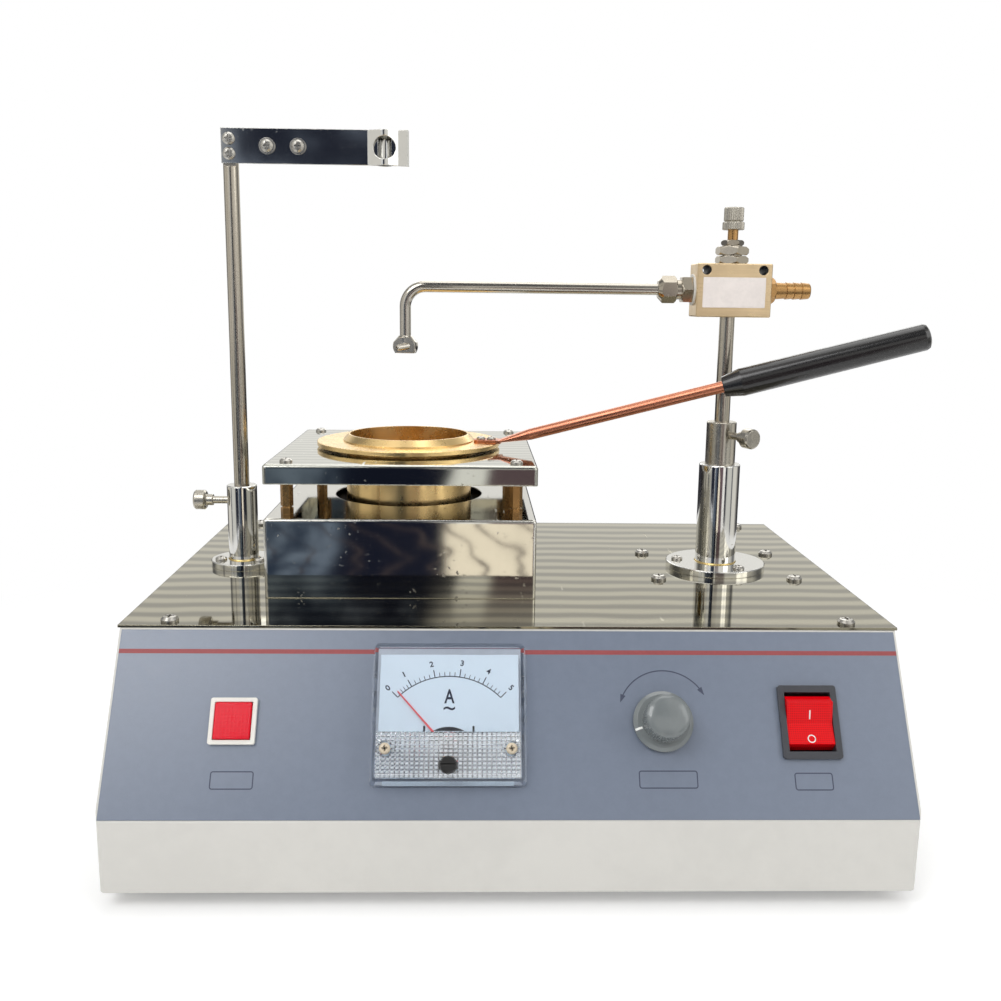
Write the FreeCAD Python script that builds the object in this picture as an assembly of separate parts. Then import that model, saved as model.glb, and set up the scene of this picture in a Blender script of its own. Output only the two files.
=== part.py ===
"""Open-cup flash point tester: a mains bench instrument with an electric cup heater, a brass test
cup on a handle, a swinging gas igniter and a thermometer stand. Units are millimetres, +Z is up,
+X is the operator's right and +Y runs from the operator to the back.

The pieces are drawn with x = 0 on the casing's middle plane, y = 0 on the casing's front face and
z = 0 on the bench. At the end everything moves together, so that the origin is the centre of the
whole instrument's footprint on the bench.
"""

import FreeCAD, Part
import math
import os

Vector = FreeCAD.Vector
UP = Vector(0, 0, 1)
RIGHT = Vector(1, 0, 0)
BACK = Vector(0, 1, 0)
ORIGIN = Vector(0, 0, 0)

# ---- fits and clearances -------------------------------------------------------------------
RUNNING_FIT = 0.06          # radial, a shaft that turns or slides in its bore
LOOSE_FIT = 0.25            # per side, a body in a sheet cut-out or a cap in its bezel
REST_GAP = 0.3              # a moving piece above the seat it is stored on
SCREW_FIT = 0.05            # radial, a screw's shank in its tapped or drilled hole

# ---- casing --------------------------------------------------------------------------------
FOOT_HEIGHT = 8.0
CASE_WIDTH = 350.0
CASE_DEPTH = 270.0
CASE_HEIGHT = 104.0         # lower edge of the casing to the top plate's upper face
CASE_SHEET = 1.2
STRIP_HEIGHT = 32.0         # vertical front strip below the sloped panel
PANEL_RUN = 46.0            # how far back the sloped panel leans
CASE_LIP = 14.0             # inward flanges that carry the top plate
BASE_LIP = 12.0             # inward flanges that carry the base plate
CASE_CORNER = 3.0
TOP_SHEET = 1.2
TOP_OVERHANG = 1.0
BASE_SHEET = 1.5
FOOT_RADIUS = 12.0
FOOT_TAPER = 1.5
FOOT_SCREW_RADIUS = 2.0
FOOT_SCREW_LENGTH = 9.0
FOOT_RECESS_DEPTH = 4.0
FOOT_INSET_X = 25.0
FOOT_INSET_Y = 35.0
VENT_SLOTS = 7
VENT_PITCH = 10.0
VENT_WIDTH = 3.0
VENT_LENGTH = 60.0

# ---- pan-head machine screws: shank radius, head radius, head height -----------------------
M4_SCREW = (2.0, 4.0, 2.6)
M3_SCREW = (1.5, 3.1, 1.9)
M2_SCREW = (1.25, 2.45, 1.5)
TOP_SCREW_LENGTH = 8.0
TOP_SCREW_INSET_X = 20.5
TOP_SCREW_INSET_FRONT = 5.2
TOP_SCREW_INSET_BACK = 9.7
BASE_SCREW_INSET = 7.0
BASE_SCREW_LENGTH = 5.0

# ---- panel fittings: x, and height up the slope from the strip's top edge -------------------
OVERLAY_SHEET = 0.3
OVERLAY_MARGIN = 1.0
FITTINGS_UP = 42.2
METER_X = -27.4
METER_UP = 45.1
METER_WIDTH = 68.0
METER_HEIGHT = 61.6
METER_FRONT_WIDTH = 64.8
METER_FRONT_HEIGHT = 59.0
METER_RISE = 10.2
METER_WALL = 1.4
METER_CORNER = 2.0
METER_BARREL_RADIUS = 26.0
METER_BARREL_DEPTH = 32.0
METER_BASE_SHEET = 2.0
METER_PIVOT_UP = 29.4
METER_PIVOT_RADIUS = 0.8
DIAL_HEIGHT = 33.6
DIAL_WIDTH = 60.4
DIAL_SHEET = 0.5
DIAL_STANDOFF = 2.7
DIAL_LOW_EDGE = 22.7        # from the meter's lower edge to the dial's lower edge
DIAL_POST_RADIUS = 1.5
DIAL_POST_X = 24.0
NEEDLE_LENGTH = 33.5
NEEDLE_TAIL = 7.0
NEEDLE_WIDTH = 1.1
NEEDLE_TIP_WIDTH = 0.5
NEEDLE_SHEET = 0.5
NEEDLE_HUB_RADIUS = 2.6
NEEDLE_REST_ANGLE = 42.0    # left of straight up, just above the dial's zero
METER_SCREW_X = 26.9
METER_SCREW_UP = 29.4
METER_BOSS_RADIUS = 3.4
ADJUSTER_UP = 22.6
ADJUSTER_RADIUS = 3.35
ADJUSTER_FLANGE = 0.5
ADJUSTER_PROUD = 0.8
ADJUSTER_SLOT = 0.9

SCAN_X = -120.8
SCAN_BEZEL = 20.1
SCAN_BEZEL_RISE = 1.9
SCAN_CAP = 15.9
SCAN_CAP_PROUD = 0.9
SCAN_CAP_DEPTH = 11.0
SCAN_TRAVEL = 2.5
SCAN_WALL = 0.9
SCAN_BODY_DEPTH = 26.0

KNOB_X = 66.0
KNOB_SKIRT_RADIUS = 13.2
KNOB_SKIRT_RISE = 2.6
KNOB_RADIUS = 9.4
KNOB_TOP_RADIUS = 8.9
KNOB_RISE = 15.0
KNOB_GAP = 0.8
KNOB_HOLLOW_RADIUS = 8.0
KNOB_HOLLOW_DEPTH = 3.6
KNOB_FLUTES = 16
KNOB_FLUTE_RADIUS = 0.8
POT_SHAFT_RADIUS = 3.0
POT_BUSH_RADIUS = 4.7
POT_BUSH_RISE = 3.6
POT_NUT_FLATS = 12.0
POT_NUT_RISE = 2.0
POT_BODY_RADIUS = 12.0
POT_BODY_DEPTH = 11.0

SWITCH_X = 130.6
SWITCH_BEZEL_WIDTH = 25.9
SWITCH_BEZEL_HEIGHT = 32.0
SWITCH_BEZEL_RISE = 2.0
SWITCH_MOUTH_WIDTH = 20.5
SWITCH_MOUTH_HEIGHT = 25.8
SWITCH_BODY_WALL = 1.7
SWITCH_BODY_DEPTH = 24.0
SWITCH_POCKET_DEPTH = 13.0
ROCKER_HALF = 12.0
ROCKER_TILT = 10.0          # each way from level
ROCKER_PIVOT_DEPTH = 1.2
ROCKER_EDGE_RISE = 4.0
ROCKER_END_SLOPE = 3.1        # the end faces lean in by this much
ROCKER_END_LOW = 0.5          # and start this far below the panel
ROCKER_DIP = 1.3
ROCKER_SIDE_DROP = 4.0
ROCKER_KEEL_DROP = 7.0
ROCKER_PIN_RADIUS = 1.5
ROCKER_PIN_LENGTH = 1.2

# ---- cup heater ----------------------------------------------------------------------------
CUP_X = -52.8
CUP_Y = 163.0
BOX_WIDTH = 132.6
BOX_DEPTH = 147.6
BOX_HEIGHT = 39.5
BOX_SHEET = 1.0
BOX_FOLD = 1.6
BOX_HOLE_RADIUS = 40.0
COVER_WIDTH = 133.4
COVER_DEPTH = 141.0
COVER_SHEET = 1.0
COVER_SKIRT = 9.7
COVER_FOLD = 1.8
COVER_HOLE_RADIUS = 37.0
STANDOFF_HEIGHT = 25.0
STANDOFF_FLATS = 5.5
STANDOFF_NECK_RADIUS = 2.35
STANDOFF_NECK_UP = 3.4
STANDOFF_NECK_HEIGHT = 0.8
STANDOFF_INSET_X = 10.2
STANDOFF_INSET_Y = 9.5
STANDOFF_STUD = 4.0
HEAT_PLATE_RADIUS = 56.0
HEAT_PLATE_HEIGHT = 6.0
HEAT_PLATE_DROP = 3.5       # the plate's face below the heater box's upper face
FORMER_RADIUS = 52.0
FORMER_HEIGHT = 14.0
FORMER_GROOVE_WIDTH = 4.0
FORMER_GROOVE_DEPTH = 5.0
FORMER_GROOVES = 4
FORMER_GROOVE_PITCH = 9.5
FORMER_FIRST_GROOVE = 13.0
FORMER_FOOT_RADIUS = 60.0

# ---- brass test cup and its handle -----------------------------------------------------------
CUP_BORE_RADIUS = 31.75
CUP_WALL = 2.25
CUP_FLOOR = 3.0
CUP_DEPTH = 33.6
CUP_FLANGE_RADIUS = 49.5
CUP_FLANGE_HEIGHT = 2.4
CUP_RIM_RISE = 3.7
CUP_RIM_LAND = 0.9
CUP_RIM_BASE = 3.75         # the rim's foot outside the bore
CUP_EDGE = 0.8
HANDLE_AZIMUTH = -12.0      # degrees from +X, towards the operator
HANDLE_RISE = 15.7          # degrees above level
TAB_START = 36.6            # from the cup's axis
TAB_END = 51.5
TAB_WIDTH = 9.0
TAB_SHEET = 1.8
TAB_SCREWS = (40.2, 45.9)   # from the cup's axis
TAB_SCREW_LENGTH = 3.6
HANDLE_RADIUS = 3.0
HANDLE_TRANSITION = 16.0
GRIP_START = 119.7          # along the rod from its bend
GRIP_LENGTH = 102.0
GRIP_NOSE_RADIUS = 5.2
GRIP_NOSE_LENGTH = 9.5
GRIP_RADIUS = 7.2
GRIP_END_RADIUS = 6.6
GRIP_END_ROUND = 2.5
ROD_IN_GRIP = 60.0

# ---- igniter: post, hub, rod -----------------------------------------------------------------
IGNITER_INSET = 57.6         # from the casing's right side
IGNITER_Y = 157.0
IGNITER_FLANGE_RADIUS = 27.0
FLANGE_HEIGHT = 3.5
FLANGE_SCREW_LENGTH = 6.5
IGNITER_FLANGE_SCREW_CIRCLE = 21.0
IGNITER_FLANGE_SCREW_ANGLES = (174.0, 54.0, -66.0)
SLEEVE_RADIUS = 11.0
SLEEVE_LENGTH = 54.6        # above its flange
SLEEVE_FLOOR = 3.0
SPIGOT_RADIUS = 9.0
HUB_RADIUS = 8.0
HUB_TOP = 193.2
HUB_PLUG = 6.0              # solid lower end that takes the drive shaft
HUB_THUMB_UP = 186.3
ROD_RADIUS = 4.0
IGNITER_LOWER = 41.0
IGNITER_RAISE = 12.0
SWING = 28.0
THUMB_AZIMUTH = -63.0
DRIVE_SHAFT_RADIUS = 3.0
DRIVE_SHAFT_ENGAGE = 4.0
MOTOR_GEARBOX = 56.0
MOTOR_GEARBOX_HEIGHT = 24.0
MOTOR_CAN_RADIUS = 25.0
MOTOR_CAN_HEIGHT = 28.0
BRACKET_SHEET = 2.0
BRACKET_SCREW_X = 72.5
BRACKET_SCREW_Y = 57.0
BRACKET_MARGIN = 7.0

# ---- thumb screws ------------------------------------------------------------------------------
THUMB_SHANK_RADIUS = 2.0
THUMB_SHANK_OUT = 7.7       # from the sleeve's outside to the collar
THUMB_COLLAR_RADIUS = 3.0
THUMB_COLLAR = 3.6
THUMB_HEAD_RADIUS = 5.3
THUMB_HEAD = 6.4
THUMB_CHAMFER = 0.8
THUMB_TIP_GAP = 0.2

# ---- needle valve, tube, nozzle, hose barb -----------------------------------------------------
VALVE_OFFSET = 0.8           # the rod's hole is left of the body's middle
VALVE_WIDTH = 39.4
VALVE_DEPTH = 19.0
VALVE_HEIGHT = 27.6
VALVE_BOTTOM = 249.1
VALVE_EDGE = 0.5
VALVE_HOLE_RADIUS = 2.5
VALVE_HOLE_SPACING = 29.8
VALVE_HOLE_DROP = 3.4
GAS_UP = 263.1
PORT_RADIUS = 4.9
PORT_DEPTH = 7.0
CONNECTOR_FLATS = 13.0
CONNECTOR_HEX = 6.8
CONNECTOR_TURN = 30.0         # puts one of its corners to the front
CONNECTOR_NECK = 2.6
CONNECTOR_NECK_RADIUS = 5.2
NUT_FLATS = 12.4
NUT_LENGTH = 9.6
NUT_TAPER = 2.6
TUBE_RADIUS = 3.0
TUBE_BORE_RADIUS = 2.1
TUBE_BEND = 10.6
NOZZLE_X = -54.1
NOZZLE_TOP = 237.5
NOZZLE_RADIUS = 6.7
NOZZLE_NECK = 3.6             # height of the cone that runs into the tube
NOZZLE_SHOULDER = 1.9         # from the ball's centre up to that cone
NOZZLE_FOOT = 3.8             # from the ball's centre down to its flat underside
NOZZLE_FACET = 3.2            # the milled face in front of the nozzle's axis
NOZZLE_TURN = -12.0           # of that face about the tube's drop
JET_RADIUS = 1.65
JET_BORE_RADIUS = 0.85
JET_STANDOUT = 5.5
JET_SINK = 1.6
JET_DROP = 0.2                # of the jet's root below the ball's centre
JET_OFFSET = 1.2              # of the jet's root beside the ball's centre line
JET_TURN = 49.0               # of the jet from straight ahead, to the left
BARB_FLATS = 11.8
BARB_HEX = 3.6
BARB_SHANK = 6.2              # plain length before the first ridge
BARB_CREST_RADIUS = 4.5
BARB_ROOT_RADIUS = 4.1
BARB_RIDGES = 3
BARB_PITCH = 4.1
BARB_BORE_RADIUS = 2.3
BONNET_FLATS = 15.4
BONNET_HEX = 4.0
BONNET_THREAD_RADIUS = 5.3
BONNET_THREAD = 5.4
BONNET_TURN = -26.0           # of the two large hexagons about the stem
BONNET_COLLAR_FLATS = 10.4
BONNET_COLLAR_TURN = -10.0
BONNET_COLLAR = 2.8
LOCKNUT_HEIGHT = 4.3
STEM_RADIUS = 2.75
STEM_SEAT = 4.0              # the stem's lower end above the gas way
STEM_OUT = 5.3              # between the bonnet's collar and the knob
KNURL_RING_RADIUS = 5.7
KNURL_RING = 4.0
KNURL_RADIUS = 5.15
KNURL_HEIGHT = 7.0
KNURL_GROOVE = 0.4

# ---- thermometer stand -------------------------------------------------------------------------
STAND_INSET = 31.8           # from the casing's left side
STAND_Y = 157.0
STAND_FLANGE_RADIUS = 17.5
STAND_FLANGE_SCREW_CIRCLE = 12.5
STAND_FLANGE_SCREW_ANGLES = (205.0, 85.0, -35.0)
STAND_SLEEVE_RADIUS = 8.0
STAND_SLEEVE_LENGTH = 40.8
STAND_THUMB_UP = 147.8
STAND_TOP = 340.9
STAND_FLAT = 2.5            # from the rod's axis to the milled flat
STAND_FLAT_BELOW = 1.4      # the flat runs on below the arm
ARM_HEIGHT = 17.4
ARM_LENGTH = 95.4
ARM_SHEET = 1.2
CLIP_SHEET = 0.8
ARM_SCREW_DROPS = (5.3, 12.7)
CLIP_SCREW_FIRST = 23.4     # from the arm's left end
CLIP_SCREW_PITCH = 15.7
CLIP_START = 16.0
CLIP_FOLD = 74.8            # from the arm's left end to where the front leaf starts to bend
CLIP_CENTRE = 83.1          # to the axis of the thermometer that the two leaves hold
CLIP_BORE_RADIUS = 3.3
CLIP_LIP_START = 90.1
CLIP_LIP_OUT = 2.2
CLIP_WINDOW_RADIUS = 5.75
WASHER_RADIUS = 4.1
WASHER_SHEET = 0.8
CLIP_NUT_FLATS = 5.5
CLIP_NUT_HEIGHT = 2.4

# ---- inside and back of the casing ---------------------------------------------------------------
BOARD_X = -70.0
BOARD_Y = 150.0
BOARD_WIDTH = 120.0
BOARD_DEPTH = 80.0
BOARD_SHEET = 1.6
BOARD_POST_HEIGHT = 8.0
BOARD_POST_RADIUS = 3.5
BOARD_POST_INSET = 6.0
TRANSFORMER = (42.0, 36.0, 32.0)
HEATSINK = (30.0, 18.0, 36.0)
HEATSINK_FINS = 5
HEATSINK_FIN = 1.5
INLET_X = 110.0
INLET_UP = 40.0
INLET_FLANGE_WIDTH = 50.0
INLET_FLANGE_HEIGHT = 24.0
INLET_FLANGE_SHEET = 2.5
INLET_BODY_WIDTH = 28.0
INLET_BODY_HEIGHT = 21.0
INLET_BODY_DEPTH = 24.0
INLET_SOCKET_WIDTH = 24.6
INLET_SOCKET_HEIGHT = 17.0
INLET_SOCKET_DEPTH = 18.0
INLET_CHAMFER = 4.5
INLET_SCREW_SPACING = 40.0
INLET_SCREW_LENGTH = 8.0
PIN_WIDTH = 4.0
PIN_SHEET = 2.0
PIN_PITCH = 14.0
PIN_LENGTH = 15.0
PIN_EARTH_UP = 2.5
PIN_LINE_DOWN = 1.5

# ---- heights and places that follow from the sizes above -------------------------------------------
IGNITER_X = CASE_WIDTH / 2 - IGNITER_INSET
STAND_X = STAND_INSET - CASE_WIDTH / 2
VALVE_X = IGNITER_X + VALVE_OFFSET
CASE_TOP = FOOT_HEIGHT + CASE_HEIGHT
SHELL_TOP = CASE_TOP - TOP_SHEET
STRIP_TOP = FOOT_HEIGHT + STRIP_HEIGHT
PANEL_RISE = CASE_HEIGHT - STRIP_HEIGHT
PANEL_ANGLE = math.degrees(math.atan2(PANEL_RISE, PANEL_RUN))
PANEL_LENGTH = math.hypot(PANEL_RISE, PANEL_RUN)
LIP_BOTTOM = FOOT_HEIGHT + CASE_SHEET
BASE_TOP = LIP_BOTTOM + BASE_SHEET
BOX_TOP = CASE_TOP + BOX_HEIGHT
COVER_TOP = BOX_TOP + STANDOFF_HEIGHT + COVER_SHEET
HEAT_FACE = BOX_TOP - HEAT_PLATE_DROP
CUP_TOP = HEAT_FACE + CUP_FLOOR + CUP_DEPTH
CUP_FLANGE_TOP = CUP_TOP - CUP_RIM_RISE
FLANGE_TOP = CASE_TOP + FLANGE_HEIGHT
SLEEVE_TOP = FLANGE_TOP + SLEEVE_LENGTH
SLEEVE_FLOOR_TOP = FLANGE_TOP + SLEEVE_FLOOR
HUB_BOTTOM = SLEEVE_FLOOR_TOP + REST_GAP
IGNITER_ROD_BOTTOM = HUB_BOTTOM + HUB_PLUG + REST_GAP + IGNITER_LOWER
VALVE_TOP = VALVE_BOTTOM + VALVE_HEIGHT
VALVE_LEFT = VALVE_X - VALVE_WIDTH / 2
VALVE_RIGHT = VALVE_X + VALVE_WIDTH / 2
STAND_SLEEVE_TOP = FLANGE_TOP + STAND_SLEEVE_LENGTH
STAND_ROD_BOTTOM = SLEEVE_FLOOR_TOP + REST_GAP
ARM_LEFT = STAND_X - ROD_RADIUS
ARM_BACK = STAND_Y - STAND_FLAT
ARM_FRONT = ARM_BACK - ARM_SHEET
ARM_BOTTOM = STAND_TOP - ARM_HEIGHT
ARM_MIDDLE = STAND_TOP - ARM_HEIGHT / 2
OVERLAY_FACE = OVERLAY_SHEET
METER_FACE = OVERLAY_FACE + METER_RISE
DIAL_FACE = OVERLAY_FACE + METER_BASE_SHEET + DIAL_STANDOFF + DIAL_SHEET
SCAN_FACE = OVERLAY_FACE + SCAN_BEZEL_RISE
SWITCH_FACE = OVERLAY_FACE + SWITCH_BEZEL_RISE
INLET_Z = FOOT_HEIGHT + INLET_UP
METER_BOTTOM = METER_UP - METER_HEIGHT / 2

nodes = {}


# ---- small tools -------------------------------------------------------------------------------
def box(x0, x1, y0, y1, z0, z1):
    """A block between two opposite corners."""
    return Part.makeBox(x1 - x0, y1 - y0, z1 - z0, Vector(x0, y0, z0))


def block(width, depth, z0, z1, x=0.0, y=0.0):
    """A block centred on x, y, from z0 up to z1."""
    return box(x - width / 2, x + width / 2, y - depth / 2, y + depth / 2, z0, z1)


def cylinder(radius, z0, z1, x=0.0, y=0.0):
    """An upright cylinder from z0 up to z1."""
    return Part.makeCylinder(radius, z1 - z0, Vector(x, y, z0), UP)


def turned(profile, x=0.0, y=0.0):
    """A solid turned about the upright axis at x, y from its (radius, height) outline."""
    points = [Vector(radius, 0, height) for radius, height in profile]
    face = Part.Face(Part.makePolygon(points + points[:1]))
    solid = face.revolve(ORIGIN, UP, 360)
    return moved(solid, x, y, 0.0)


def extruded(points, direction):
    """A prism swept along direction from a closed outline of 3-D points."""
    return Part.Face(Part.makePolygon(points + points[:1])).extrude(direction)


def hexagon(flats, z0, z1, x=0.0, y=0.0):
    """An upright hexagonal bar with two corners along X."""
    radius = flats / math.sqrt(3)
    corners = [
        Vector(x + radius * math.cos(math.radians(60 * k)), y + radius * math.sin(math.radians(60 * k)), z0)
        for k in range(6)
    ]
    return extruded(corners, Vector(0, 0, z1 - z0))


def hex_nut(flats, z0, z1):
    """A hexagonal bar on the Z axis whose corners are turned off at both ends."""
    corner = flats / math.sqrt(3)
    bevel = corner - flats / 2
    dome = turned([
        (0, z0), (flats / 2, z0), (corner, z0 + bevel), (corner, z1 - bevel), (flats / 2, z1), (0, z1),
    ])
    return hexagon(flats, z0, z1).common(dome)


def moved(shape, dx, dy, dz):
    """A copy of the shape shifted by dx, dy, dz."""
    return shape.translated(Vector(dx, dy, dz))


def spun(shape, angle):
    """A copy of a shape drawn on the Z axis, turned about it by the angle in degrees."""
    copy = shape.copy()
    copy.rotate(Vector(0, 0, 0), UP, angle)
    return copy


def along(shape, base, direction):
    """A shape drawn on the Z axis, laid on the line that leaves base in the given direction."""
    copy = shape.copy()
    copy.Placement = FreeCAD.Placement(base, FreeCAD.Rotation(UP, direction)).multiply(copy.Placement)
    return copy


def on_panel(shape, x, up):
    """A shape drawn with x across, y up the slope and z out of the panel, put on the panel."""
    angle = math.radians(PANEL_ANGLE)
    base = Vector(x, up * math.cos(angle), STRIP_TOP + up * math.sin(angle))
    copy = shape.copy()
    copy.Placement = FreeCAD.Placement(base, FreeCAD.Rotation(RIGHT, PANEL_ANGLE)).multiply(copy.Placement)
    return copy


def rounded_block(width, depth, z0, z1, radius):
    """A centred block with its four upright edges rounded."""
    solid = block(width, depth, z0, z1)
    upright = [e for e in solid.Edges if abs(e.tangentAt(e.FirstParameter).z) > 0.9]
    return solid.makeFillet(radius, upright)


def rounded_outline(width, depth, z, radius):
    """The closed outline of a centred rectangle with round corners, at height z."""
    flat = rounded_block(width, depth, z, z + 1, radius)
    low = [f for f in flat.Faces if abs(f.CenterOfMass.z - z) < 1e-6]
    return low[0].OuterWire


def pan_screw(screw, length):
    """A pan-head screw pointing down: its head sits on z = 0 and has a cross recess."""
    shank, head, rise = screw
    body = turned([
        (0, -length), (shank, -length), (shank, 0), (head, 0), (head, rise * 0.45),
        (head * 0.72, rise * 0.9), (head * 0.4, rise), (0, rise),
    ])
    arm = head * 0.55
    slot = head * 0.12
    depth = rise * 0.5
    cross = box(-arm, arm, -slot, slot, depth, rise + 1).fuse(box(-slot, slot, -arm, arm, depth, rise + 1))
    return body.cut(cross)


def washer(outer, inner, sheet):
    """A flat washer on z = 0."""
    return cylinder(outer, 0, sheet).cut(cylinder(inner, -1, sheet + 1))


def thumb_screw(reach):
    """A thumb screw along +Z: its tip is at z = 0 and its collar starts at reach."""
    head = reach + THUMB_COLLAR
    end = head + THUMB_HEAD
    return turned([
        (0, 0), (THUMB_SHANK_RADIUS - 0.5, 0), (THUMB_SHANK_RADIUS, 0.5), (THUMB_SHANK_RADIUS, reach),
        (THUMB_COLLAR_RADIUS, reach), (THUMB_COLLAR_RADIUS, head),
        (THUMB_HEAD_RADIUS - THUMB_CHAMFER, head), (THUMB_HEAD_RADIUS, head + THUMB_CHAMFER),
        (THUMB_HEAD_RADIUS, end - THUMB_CHAMFER), (THUMB_HEAD_RADIUS - THUMB_CHAMFER, end), (0, end),
    ])


def keep(name, *solids):
    """Store a sub-part: one solid, or a group of separate ones."""
    nodes[name] = solids[0] if len(solids) == 1 else Part.makeCompound(list(solids))


def shank_hole(screw, z0, z1, x=0.0, y=0.0):
    """The drilling that lets a screw's shank through."""
    return cylinder(screw[0] + SCREW_FIT, z0, z1, x, y)


# ---- places that several pieces share --------------------------------------------------------------
def corners(half_x, half_y, x=0.0, y=0.0):
    """The four corners of a rectangle centred on x, y."""
    return [(x + i * half_x, y + j * half_y) for i in (-1, 1) for j in (-1, 1)]


def circle_places(radius, angles, x, y):
    """Places on a circle about x, y at the given angles in degrees."""
    return [
        (x + radius * math.cos(math.radians(a)), y + radius * math.sin(math.radians(a))) for a in angles
    ]


def top_screw_places():
    """The corner screws of the top plate."""
    side = CASE_WIDTH / 2 - TOP_SCREW_INSET_X
    front = PANEL_RUN + TOP_SCREW_INSET_FRONT
    rear = CASE_DEPTH - TOP_SCREW_INSET_BACK
    return [(x, y) for x in (-side, side) for y in (front, rear)]


def bracket_screw_places():
    """The four screws round the igniter's post that carry the motor bracket."""
    return corners(BRACKET_SCREW_X / 2, BRACKET_SCREW_Y / 2, IGNITER_X, IGNITER_Y)


def igniter_flange_places():
    return circle_places(IGNITER_FLANGE_SCREW_CIRCLE, IGNITER_FLANGE_SCREW_ANGLES, IGNITER_X, IGNITER_Y)


def stand_flange_places():
    return circle_places(STAND_FLANGE_SCREW_CIRCLE, STAND_FLANGE_SCREW_ANGLES, STAND_X, STAND_Y)


def standoff_places():
    """The brass standoffs under the heater cover's corners."""
    return corners(COVER_WIDTH / 2 - STANDOFF_INSET_X, COVER_DEPTH / 2 - STANDOFF_INSET_Y, CUP_X, CUP_Y)


def base_screw_places():
    side = CASE_WIDTH / 2 - BASE_SCREW_INSET
    return [(x, y) for x in (-side, side) for y in (BASE_SCREW_INSET, CASE_DEPTH - BASE_SCREW_INSET)]


def foot_places():
    side = CASE_WIDTH / 2 - FOOT_INSET_X
    return [(x, y) for x in (-side, side) for y in (FOOT_INSET_Y, CASE_DEPTH - FOOT_INSET_Y)]


def inlet_screw_places():
    return [INLET_X - INLET_SCREW_SPACING / 2, INLET_X + INLET_SCREW_SPACING / 2]


def handle_point(from_axis, z):
    """A place on the handle's upright plane, measured out from the cup's axis."""
    angle = math.radians(HANDLE_AZIMUTH)
    return Vector(CUP_X + from_axis * math.cos(angle), CUP_Y + from_axis * math.sin(angle), z)


# ---- casing ---------------------------------------------------------------------------------------
def side_outline(inset):
    """The casing's side view, drawn inset from its outer faces, at x = 0."""
    angle = math.radians(PANEL_ANGLE)
    slope = PANEL_RUN / PANEL_RISE
    low = FOOT_HEIGHT + inset
    high = SHELL_TOP - inset
    knee = STRIP_TOP - inset * math.tan(math.radians(90 - PANEL_ANGLE) / 2)
    lean = inset / math.sin(angle)
    back = CASE_DEPTH - inset
    points = [
        (inset, low), (inset, knee), ((high - STRIP_TOP) * slope + lean, high), (back, high), (back, low),
    ]
    return [Vector(0, y, z) for y, z in points]


def casing():
    """Folded sheet casing, open above and below inside its lips, with the panel's cut-outs."""
    outer = extruded(side_outline(0.0), Vector(CASE_WIDTH, 0, 0))
    outer = moved(outer, -CASE_WIDTH / 2, 0, 0)
    front_corners = [
        e for e in outer.Edges
        if abs(e.Vertexes[0].X) > CASE_WIDTH / 2 - 1 and abs(e.Vertexes[1].X) > CASE_WIDTH / 2 - 1
        and abs(e.Vertexes[0].X - e.Vertexes[1].X) < 1
        and max(v.Y for v in e.Vertexes) < PANEL_RUN and max(v.Z for v in e.Vertexes) < STRIP_TOP + 1
        and min(v.Z for v in e.Vertexes) < STRIP_TOP - 1
    ]
    outer = outer.makeFillet(CASE_CORNER, front_corners)
    inner_width = CASE_WIDTH - 2 * CASE_SHEET
    inner = moved(extruded(side_outline(CASE_SHEET), Vector(inner_width, 0, 0)), -inner_width / 2, 0, 0)
    shell = outer.cut(inner)
    lip = CASE_WIDTH / 2 - CASE_LIP
    rear = CASE_DEPTH - CASE_LIP
    shell = shell.cut(box(-lip, lip, PANEL_RUN + CASE_LIP, rear, SHELL_TOP - 2 * CASE_SHEET, SHELL_TOP + 1))
    side = CASE_WIDTH / 2 - BASE_LIP
    shell = shell.cut(box(-side, side, BASE_LIP, CASE_DEPTH - BASE_LIP, FOOT_HEIGHT - 1, LIP_BOTTOM + 1))
    for x, y in top_screw_places():
        shell = shell.cut(shank_hole(M4_SCREW, SHELL_TOP - 2 * CASE_SHEET, SHELL_TOP + 1, x, y))
    for x, y in base_screw_places():
        shell = shell.cut(shank_hole(M3_SCREW, FOOT_HEIGHT - 1, LIP_BOTTOM + 1, x, y))
    for cutter in panel_cutters():
        shell = shell.cut(cutter)
    keep("casing_shell", shell.cut(inlet_cutter()))


def panel_cutters():
    """Tools that open the sloped panel and its overlay for the fittings."""
    low, high = -3 * CASE_SHEET, 2 * CASE_SHEET
    scan = SCAN_CAP + 2 * (SCAN_WALL + 2 * LOOSE_FIT)
    switch_width = SWITCH_MOUTH_WIDTH + 2 * (SWITCH_BODY_WALL + LOOSE_FIT)
    switch_height = SWITCH_MOUTH_HEIGHT + 2 * (SWITCH_BODY_WALL + LOOSE_FIT)
    return [
        on_panel(cylinder(METER_BARREL_RADIUS + LOOSE_FIT, low, high), METER_X, METER_UP),
        on_panel(block(scan, scan, low, high), SCAN_X, FITTINGS_UP),
        on_panel(cylinder(POT_BUSH_RADIUS + LOOSE_FIT, low, high), KNOB_X, FITTINGS_UP),
        on_panel(block(switch_width, switch_height, low, high), SWITCH_X, FITTINGS_UP),
    ]


def inlet_cutter():
    """The opening in the back wall for the mains inlet and its two screws."""
    width = INLET_BODY_WIDTH / 2 + LOOSE_FIT
    height = INLET_BODY_HEIGHT / 2 + LOOSE_FIT
    near, far = CASE_DEPTH - 2 * CASE_SHEET, CASE_DEPTH + 1
    cutter = box(INLET_X - width, INLET_X + width, near, far, INLET_Z - height, INLET_Z + height)
    for x in inlet_screw_places():
        hole = Part.makeCylinder(M3_SCREW[0] + SCREW_FIT, far - near, Vector(x, near, INLET_Z), BACK)
        cutter = cutter.fuse(hole)
    return cutter


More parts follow.
